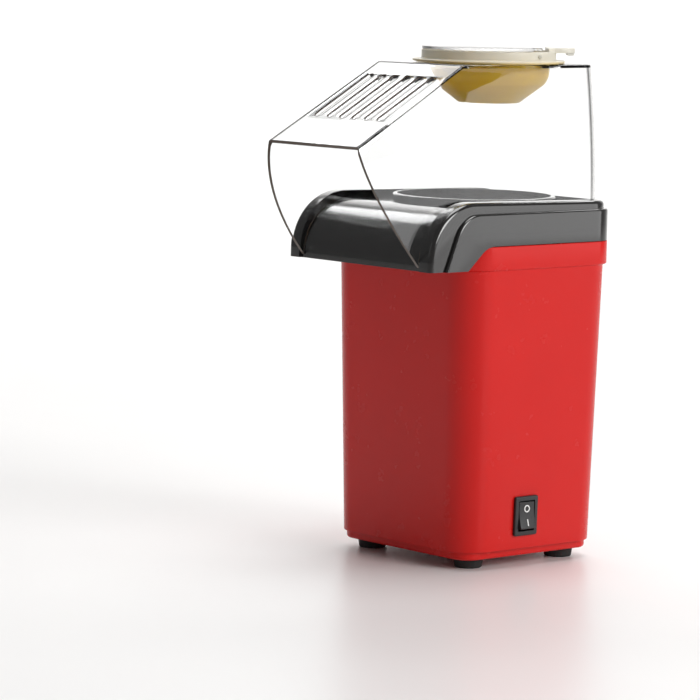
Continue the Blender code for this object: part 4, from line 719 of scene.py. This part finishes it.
# %% Feet and base screws
def copies(obj, spot, names, body, slot_name):
    """The piece itself at one corner, and copies of its own mesh at the other three."""
    made = []
    for (x, y), node in zip(CORNERS, names):
        piece = obj if (x, y) == (1, 1) else obj.copy()
        if piece is not obj:
            piece.data = obj.data.copy()
            bpy.context.scene.collection.objects.link(piece)
            piece.data.transform(Matrix.Translation(Vector(((x - 1) * spot[0], (y - 1) * spot[1], 0)) * MM))
        made.append((piece, node))
    for piece, node in made:
        piece.name = "piece_" + node
        hand_in(piece, body, slot_name, [node])
    return [piece for piece, _ in made]


def corner_names(stem):
    return [f"{stem}_{'front' if y < 0 else 'rear'}_{'left' if x < 0 else 'right'}" for x, y in CORNERS]


RADIUS = (foot_high.x - foot_low.x) / 2
SEAT_Z = base_low.z - GAP
rubber = [(0, 0.4), (RADIUS - 3.2, 0.4), (RADIUS - 2.9, 0)] + arc((RADIUS - 1.6, 0.9), 0.9, -90, -10, 5)
rubber += [(RADIUS, SEAT_Z - 0.3), (RADIUS - 0.3, SEAT_Z), (2.6, SEAT_Z)]
rubber += [(2.6, foot_high.z - 1), (1.8, foot_high.z), (0, foot_high.z)]
feet = copies(turned("foot", rubber, FOOT, 64), FOOT, corner_names("foot"), "base", "rubber")

HEAD = (screw_high.x - screw_low.x) / 2
low = screw_low.z
shank = [(HEAD, low + 2), (1.25, low + 2), (1.25, low + 16), (0.4, screw_high.z), (0, screw_high.z)]
fixing = turned("screw", [(0, low)] + arc((HEAD - 1.0, low + 1.0), 1.0, -90, 0, 4) + shank, SCREW, 40)
for wide, deep in ((1.6, 0.3), (0.3, 1.6)):
    combine(fixing, block("recess", (SCREW[0] - wide, SCREW[1] - deep, low - 1),
                          (SCREW[0] + wide, SCREW[1] + deep, low + 1.1)))
screws = copies(fixing, SCREW, corner_names("base_screw"), "base", "steel")

# %% [markdown]
# ## The cord's bush
# The cord is not part of this model. Its bush is: a flanged sleeve in the rear wall, turned on
# an upright axis and then laid down.

# %% Cord bush
bush_profile = [(3.6, -8.4), (5.6, -8.4), (5.6, 0.5), (8.0, 0.5)] + arc((7.2, 1.5), 0.8, 0, 90, 5)
bush_profile += arc((4.3, 1.6), 0.7, 90, 180, 4)
bush = turned("bush", bush_profile, sides=64)
REAR_Y = 52.5 - math.tan(LEAN) * (STEP - gland_z)
bush.data.transform(Matrix.Translation(at(0, REAR_Y, gland_z)) @ Matrix.Rotation(-math.pi / 2, 4, "X")
                    @ Matrix.Translation(-AXIS))
bush = hand_in(bush, "base", "black_satin", ["cord_gland"])

# %% [markdown]
# ## The popping chamber
# The chamber is seen through the hood. It is spun from aluminium sheet: a cup with a coned floor
# and a clamped flange, and a ring of slanted vents that sweep the corn round.

# %% Chamber
CUP_R = 38.0
floor_z, top_z = chamber_low.z / MM, chamber_high.z / MM
chamber_out = [(0, floor_z + 7), (12, floor_z)] + arc((CUP_R - 6, floor_z + 6), 6, -90, 0, 8)
chamber_out += [(CUP_R, top_z - 1.9)] + arc((CUP_R + 0.7, top_z - 1.9), 0.7, 180, 90, 4)
chamber_out += [(44, top_z - 1.2), (44, top_z)]
chamber_in = [(CUP_R - 0.2, top_z)] + arc((CUP_R + 0.7, top_z - 1.7), 1.7, 100, 180, 5)
chamber_in += [(CUP_R - 1, floor_z + 6.4)] + arc((CUP_R - 6, floor_z + 6), 5, 0, -90, 8)
chamber_in += [(12.4, floor_z + 1), (0, floor_z + 8)]
chamber = turned("chamber", chamber_out + chamber_in, sides=128)
for i in range(14):
    vent = block(f"vent_{i}", (-4, -1.2, -6), (4, 1.2, 6))
    around = Matrix.Rotation(math.tau * i / 14, 4, "Z")
    lean = Matrix.Translation(Vector((CUP_R, 0, floor_z + 12.5)) * MM) @ Matrix.Rotation(math.radians(28), 4, "X")
    vent.data.transform(Matrix.Translation(AXIS) @ around @ lean @ Matrix.Translation(-AXIS))
    combine(chamber, vent)
chamber = hand_in(chamber, "base", "aluminium", ["popping_chamber"])

# %% [markdown]
# ## The parts inside
# The motor, fan, heater and the other inner parts already have the right shape. A copy of each
# is merged, so that its faces are joined and can be shaded smoothly, and stands for its node.

# %% Inner parts
SLOT_OF = {part["node"]: part["material_slot"] for part in frame["record"]["subparts"]}
BODY_OF = {node: body for body, group in frame["record"]["behaviour"]["bodies"].items() for node in group}
inner_parts = []
for node, obj in frame["nodes"].items():
    if obj.hide_render or node == "switch_rocker":   # the rocker is handed in with its marks
        continue
    inner = obj.copy()
    inner.data = obj.data.copy()
    for key in list(inner.keys()):
        del inner[key]
    inner.name = "inner_" + node
    bpy.context.scene.collection.objects.link(inner)
    grab(inner, lambda item: True, "VERT")
    bpy.ops.mesh.remove_doubles(threshold=0.001 * MM)
    release()
    inner_parts.append(hand_in(inner, BODY_OF[node], SLOT_OF[node], [node], smooth=30))
print(len(inner_parts), "inner parts")

# %% [markdown]
# ## Finishes
# A finish is a small network of shader nodes. `Wire` stands for one output of a node, so that
# the arithmetic of a finish can be written as ordinary sums; each sum adds a Math node.

# %% The shader class
class Wire:
    """An output of a shader node. Sums with it add Math nodes; node() adds any other kind."""

    def __init__(self, tree, socket=None):
        self.tree = tree
        self.socket = socket

    def node(self, kind, settings=None, inputs=None, output=0):
        """Adds a node: its settings first, then the values or wires of its inputs."""
        made = self.tree.nodes.new("ShaderNode" + kind)
        for key, value in (settings or {}).items():
            if key == "stops":
                for element, (place, shade) in zip(made.color_ramp.elements, value):
                    element.position = place
                    element.color = (shade, shade, shade, 1)
            else:
                setattr(made, key, value)
        for key, value in (inputs or {}).items():
            if isinstance(value, Wire):
                self.tree.links.new(value.socket, made.inputs[key])
            else:
                made.inputs[key].default_value = value
        return Wire(self.tree, made.outputs[output] if len(made.outputs) else None)

    def math(self, operation, first, second):
        return self.node("Math", {"operation": operation}, {0: first, 1: second})

    def __add__(self, other):
        return self.math("ADD", self, other)

    __radd__ = __add__

    def __sub__(self, other):
        return self.math("SUBTRACT", self, other)

    def __rsub__(self, other):
        return self.math("SUBTRACT", other, self)

    def __mul__(self, other):
        return self.math("MULTIPLY", self, other)

    __rmul__ = __mul__


# %% [markdown]
# Three patterns serve nearly every finish: clouds, which are soft and large; smears, which are
# clouds with a hard threshold, as where a hand has been; and grain, which feeds the bump.

# %% Patterns
def start_finish(name):
    """A new material with an empty network, and a wire with its coordinates in metres."""
    material = bpy.data.materials.new(name)
    material.use_nodes = True
    material.node_tree.nodes.clear()
    tree = Wire(material.node_tree)
    return material, tree.node("TexCoord", output="Object")


def clouds(place, size, detail=3.0, stretch=(1, 1, 1)):
    """Soft noise from 0 to 1, whose spots are about size millimetres across."""
    moved = place.node("Mapping", inputs={"Vector": place, "Scale": stretch})
    return place.node("TexNoise", inputs={"Vector": moved, "Scale": 1 / (size * MM), "Detail": detail})


def smears(place, size, start=0.55, end=0.75):
    """Mostly 0, with soft-edged patches of 1."""
    return place.node("ValToRGB", {"stops": [(start, 0), (end, 1)]}, {"Fac": clouds(place, size, 4.0)}, "Color")


def tint(place, share, first, second):
    """A colour between two colours."""
    return place.node("Mix", {"data_type": "RGBA"}, {0: share, 6: (*first, 1), 7: (*second, 1)}, 2)


def bumps(place, height, depth, strength=1.0):
    """A bump of the given depth in millimetres."""
    return place.node("Bump", inputs={"Height": height, "Strength": strength, "Distance": depth * MM},
                      output="Normal")


def skin(material, place, **sockets):
    """Closes a finish with a Principled shader; a name's underscores stand for spaces."""
    inputs = {key.replace("_", " "): value for key, value in sockets.items()}
    place.node("OutputMaterial", inputs={"Surface": place.node("BsdfPrincipled", inputs=inputs)})
    return material


# %% [markdown]
# ## Moulded plastics
# A moulding is never one flat colour. The pigment drifts a little, the gloss is dulled where it
# has been handled, and a very fine grain breaks up the reflections.

# %% Plastics
def moulded(name, colour, drift, roughness, coat=0.0, grain=0.004, dull=0.08, size=45.0, shine=0.5):
    """An opaque plastic: pigment drift, dulled patches and a fine grain."""
    material, place = start_finish(name)
    pigment = clouds(place, size)
    speck = clouds(place, 1.2, 2.0)
    darker = tuple(c * (1 - drift) for c in colour)
    lighter = tuple(min(1, c * (1 + drift)) for c in colour)
    worn = smears(place, 22.0, 0.4, 0.85)
    return skin(material, place,
                Base_Color=tint(place, pigment * 0.85 + speck * 0.15, darker, lighter),
                Roughness=roughness + dull * worn + 0.04 * clouds(place, 6.0),
                Normal=bumps(place, clouds(place, 0.35, 2.0), grain),
                Coat_Weight=coat, Coat_Roughness=0.08, Specular_IOR_Level=shine)


red = moulded("red_moulding", (0.60, 0.009, 0.007), 0.08, 0.24, coat=0.06, grain=0.002, dull=0.02, shine=0.22)
black = moulded("black_gloss_moulding", (0.011, 0.010, 0.0095), 0.25, 0.13, coat=0.9, grain=0.0015, dull=0.03)
satin = moulded("black_satin_moulding", (0.014, 0.014, 0.015), 0.2, 0.36, grain=0.006)
grey = moulded("grey_moulding", (0.30, 0.31, 0.32), 0.08, 0.45, grain=0.006)
white = moulded("white_mark", (0.82, 0.82, 0.80), 0.03, 0.4, grain=0.002)
black_rubber = moulded("black_rubber", (0.012, 0.012, 0.012), 0.3, 0.62, grain=0.012, dull=0.15, size=10.0)
silicone = moulded("red_silicone", (0.45, 0.06, 0.04), 0.1, 0.5, grain=0.006)
ferrite = moulded("ferrite", (0.05, 0.05, 0.055), 0.2, 0.55, grain=0.02)
resin = moulded("circuit_board", (0.05, 0.16, 0.06), 0.15, 0.4, grain=0.004, size=8.0)
print("plastics:", red.name, black.name, satin.name)

# %% [markdown]
# The clear parts are real glass-like solids with the index of acrylic, so their edges darken and
# bend the light by themselves. The hood's rims and slot edges also wear a dark brown opaque finish,
# which is painted shade. The measuring cup is tinted below its flange; its ring is nearly clear,
# with a milky cast.

# %% Clear and tinted plastic
def clear(name, colour, roughness, index=1.49):
    material, place = start_finish(name)
    film = smears(place, 16.0, 0.5, 0.8)
    return skin(material, place,
                Base_Color=tint(place, clouds(place, 60.0), colour, tuple(c * 0.985 for c in colour)),
                Roughness=roughness + 0.03 * film,
                Normal=bumps(place, clouds(place, 9.0, 2.0), 0.01, 0.3),
                Transmission_Weight=1.0, IOR=index)


def tinted_cup():
    material, place = start_finish("amber_cup")
    height = place.node("SeparateXYZ", inputs={"Vector": place}, output="Z")
    above = place.node("MapRange", inputs={"Value": height, "From Min": (SEAT - 0.6) * MM,
                                           "From Max": (SEAT + 1.4) * MM})
    patch = clouds(place, 14.0)
    amber = tint(place, patch, (1.0, 0.70, 0.015), (0.97, 0.62, 0.012))
    milky = tint(place, patch, (0.93, 0.90, 0.80), (0.90, 0.86, 0.74))
    colour = place.node("Mix", {"data_type": "RGBA"}, {0: above, 6: amber, 7: milky}, 2)
    solid = place.node("BsdfPrincipled", inputs={
        "Base Color": colour, "Roughness": 0.45 + 0.1 * patch, "Specular IOR Level": 0.2})
    glassy = place.node("BsdfPrincipled", inputs={
        "Base Color": colour, "Roughness": 0.12 + 0.1 * patch, "Transmission Weight": 1.0, "IOR": 1.45})
    both = place.node("MixShader", inputs={0: 0.36 + 0.06 * patch, 1: solid, 2: glassy})
    place.node("OutputMaterial", inputs={"Surface": both})
    return material


clear_hood = clear("clear_hood", (0.985, 0.99, 0.99), 0.0)
# Painted shade: a dark brown opaque finish on the hood's rims and slot edges, for a clear shell's dark edge lines.
hood_edge_painted_shade = moulded("hood_edge_painted_shade", (0.075, 0.05, 0.035), 0.2, 0.22, grain=0.002, dull=0.04, size=12.0)
clear_lid = clear("clear_lid", (0.96, 0.96, 0.95), 0.02)
amber_cup = tinted_cup()
print("clear parts:", clear_hood.name, clear_lid.name, amber_cup.name)

# %% [markdown]
# ## Metals and mica
# Sheet metal is seen mostly by its lines: spun rings on the chamber, drawn lines on the duct.
# Noise that is squeezed along one direction gives both.

# %% Metals and mica
def metal(name, colour, roughness, lines=(1, 1, 60), size=3.0, tarnish=0.15):
    material, place = start_finish(name)
    drawn_lines = clouds(place, size, 4.0, lines)
    dark = tuple(c * (1 - tarnish) for c in colour)
    return skin(material, place,
                Base_Color=tint(place, clouds(place, 18.0), dark, colour),
                Roughness=roughness + 0.18 * drawn_lines + 0.1 * smears(place, 12.0),
                Metallic=1.0, Normal=bumps(place, drawn_lines, 0.01))


aluminium = metal("spun_aluminium", (0.80, 0.80, 0.79), 0.2)
steel = metal("steel_sheet", (0.52, 0.52, 0.52), 0.28)
plated = metal("plated_screw", (0.58, 0.57, 0.54), 0.22, (1, 1, 1), 1.0)
nichrome = metal("nichrome_wire", (0.32, 0.27, 0.23), 0.35, (1, 1, 1), 1.0, 0.3)
bronze = metal("sintered_bronze", (0.55, 0.36, 0.18), 0.35, (1, 1, 1), 0.6)
mica = moulded("mica_board", (0.62, 0.52, 0.38), 0.18, 0.4, grain=0.02, size=5.0)
print("metals:", aluminium.name, steel.name)

# %% Finishes on pieces
FINISH = {"red_plastic": red, "black_gloss": black, "black_satin": satin, "grey_plastic": grey,
          "rubber": black_rubber,
          "silicone": silicone, "ferrite": ferrite, "board": resin, "clear_plastic": clear_hood, "mica": mica,
          "amber_plastic": amber_cup, "aluminium": aluminium, "steel": steel, "nichrome": nichrome, "bronze": bronze}


def wear(obj, material):
    obj.data.materials.clear()
    obj.data.materials.append(material)


for mark in marks:
    wear(mark, white)
wear(rocker, satin)
take(rocker)
for mark in marks:
    mark.select_set(True)
bpy.ops.object.join()
rocker = hand_in(lay_on_wall(rocker, TILT), "rocker", "black_satin", ["switch_rocker"])
outer_parts = [housing, deck, hood, cup, lid, pin, switch, base, bush, chamber] + feet + screws
for piece in outer_parts + inner_parts:
    if piece is not hood:
        wear(piece, FINISH[piece["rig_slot"]])
hood.data.materials[0] = clear_hood
# The rims and slot edges wear the painted shade.
hood.data.materials[1] = hood_edge_painted_shade
hood.data.materials[2] = clear_hood
wear(lid, clear_lid)
for piece in screws:
    wear(piece, plated)
print(len(outer_parts) + len(inner_parts) + 1, "pieces have a finish")

# %% [markdown]
# ## The room
# A pale floor curves up behind the maker. A soft light hangs on the switch side, a wide card of
# light behind it shows in the black cheek, and a faint one fills the front. One light hangs over
# the maker, and one over the floor behind it, which the clear hood shows.

# %% Camera
camera_data = bpy.data.cameras.new("camera")
camera_data.lens = 188.24
camera_data.sensor_width = 36
camera = bpy.data.objects.new("camera", camera_data)
bpy.context.scene.collection.objects.link(camera)
place = Vector((1.4451, -1.28775, 0.3277))
aim = Vector((-0.0380, -0.02285, 0.1084))
look = (aim - place).to_track_quat("-Z", "Y").to_matrix().to_4x4()
camera.matrix_world = Matrix.Translation(place) @ look @ Matrix.Rotation(0.02, 4, "Z")
bpy.context.scene.camera = camera
print("camera", round((aim - place).length, 2), "m away")

# %% Floor
away = (aim - place)
facing = math.atan2(away.y, away.x) - math.pi / 2
bpy.ops.object.select_all(action="DESELECT")
bpy.ops.mesh.primitive_plane_add(size=8, location=(0, 0, 0))
floor = bpy.context.object
floor.name = "floor"
grab(floor, lambda e: all(v.co.y > 3.9 for v in e.verts))
bpy.ops.mesh.extrude_edges_move(TRANSFORM_OT_translate={"value": (0, 0, 5)})
release()
round_floor = lambda e: all(abs(v.co.z) < 0.01 and v.co.y > 3.9 for v in e.verts)
grab(floor, round_floor)
bpy.ops.mesh.bevel(offset=1.8, segments=16, affect="EDGES")
release()
floor.data.transform(Matrix.Rotation(facing, 4, "Z"))
take(floor)
bpy.ops.object.shade_smooth()
pale, spot = start_finish("pale_floor")
wear(floor, skin(pale, spot,
                 Base_Color=tint(spot, clouds(spot, 400.0), (0.84, 0.83, 0.82), (0.80, 0.795, 0.79)),
                 Roughness=0.32 + 0.06 * clouds(spot, 90.0)))
print("floor turned by", round(math.degrees(facing)), "degrees")

# %% Lights
def soft_light(name, position, target, size, power, colour=(1, 1, 1)):
    lamp = bpy.data.lights.new(name, "AREA")
    lamp.shape = "RECTANGLE"
    lamp.size, lamp.size_y = size
    lamp.energy = power
    lamp.color = colour
    obj = bpy.data.objects.new(name, lamp)
    bpy.context.scene.collection.objects.link(obj)
    position, target = Vector(position), Vector(target)
    turn = (target - position).to_track_quat("-Z", "Y").to_matrix().to_4x4()
    obj.matrix_world = Matrix.Translation(position) @ turn
    return obj


soft_light("side_light", (1.7, 0.3, 0.9), (0, 0, 0.15), (0.8, 0.9), 19)
soft_light("card_light", (1.9, 1.7, 0.5), (0, 0, 0.2), (2.0, 1.4), 14)
soft_light("front_light", (-0.5, -1.8, 0.8), (0, 0, 0.15), (0.9, 0.9), 0.6)
soft_light("top_light", (0.1, 0.2, 1.8), (0, 0, 0.15), (1.0, 1.0), 15)
behind = away.normalized()
soft_light("floor_light", (behind.x * 2.4, behind.y * 2.4, 2.4), (behind.x * 3.2, behind.y * 3.2, 0),
           (3.0, 2.0), 80)
world = bpy.data.worlds.new("room")
bpy.context.scene.world = world
world.use_nodes = True
world.node_tree.nodes["Background"].inputs["Color"].default_value = (1, 1, 1, 1)
world.node_tree.nodes["Background"].inputs["Strength"].default_value = 0.18
bpy.context.scene.view_settings.view_transform = "Standard"
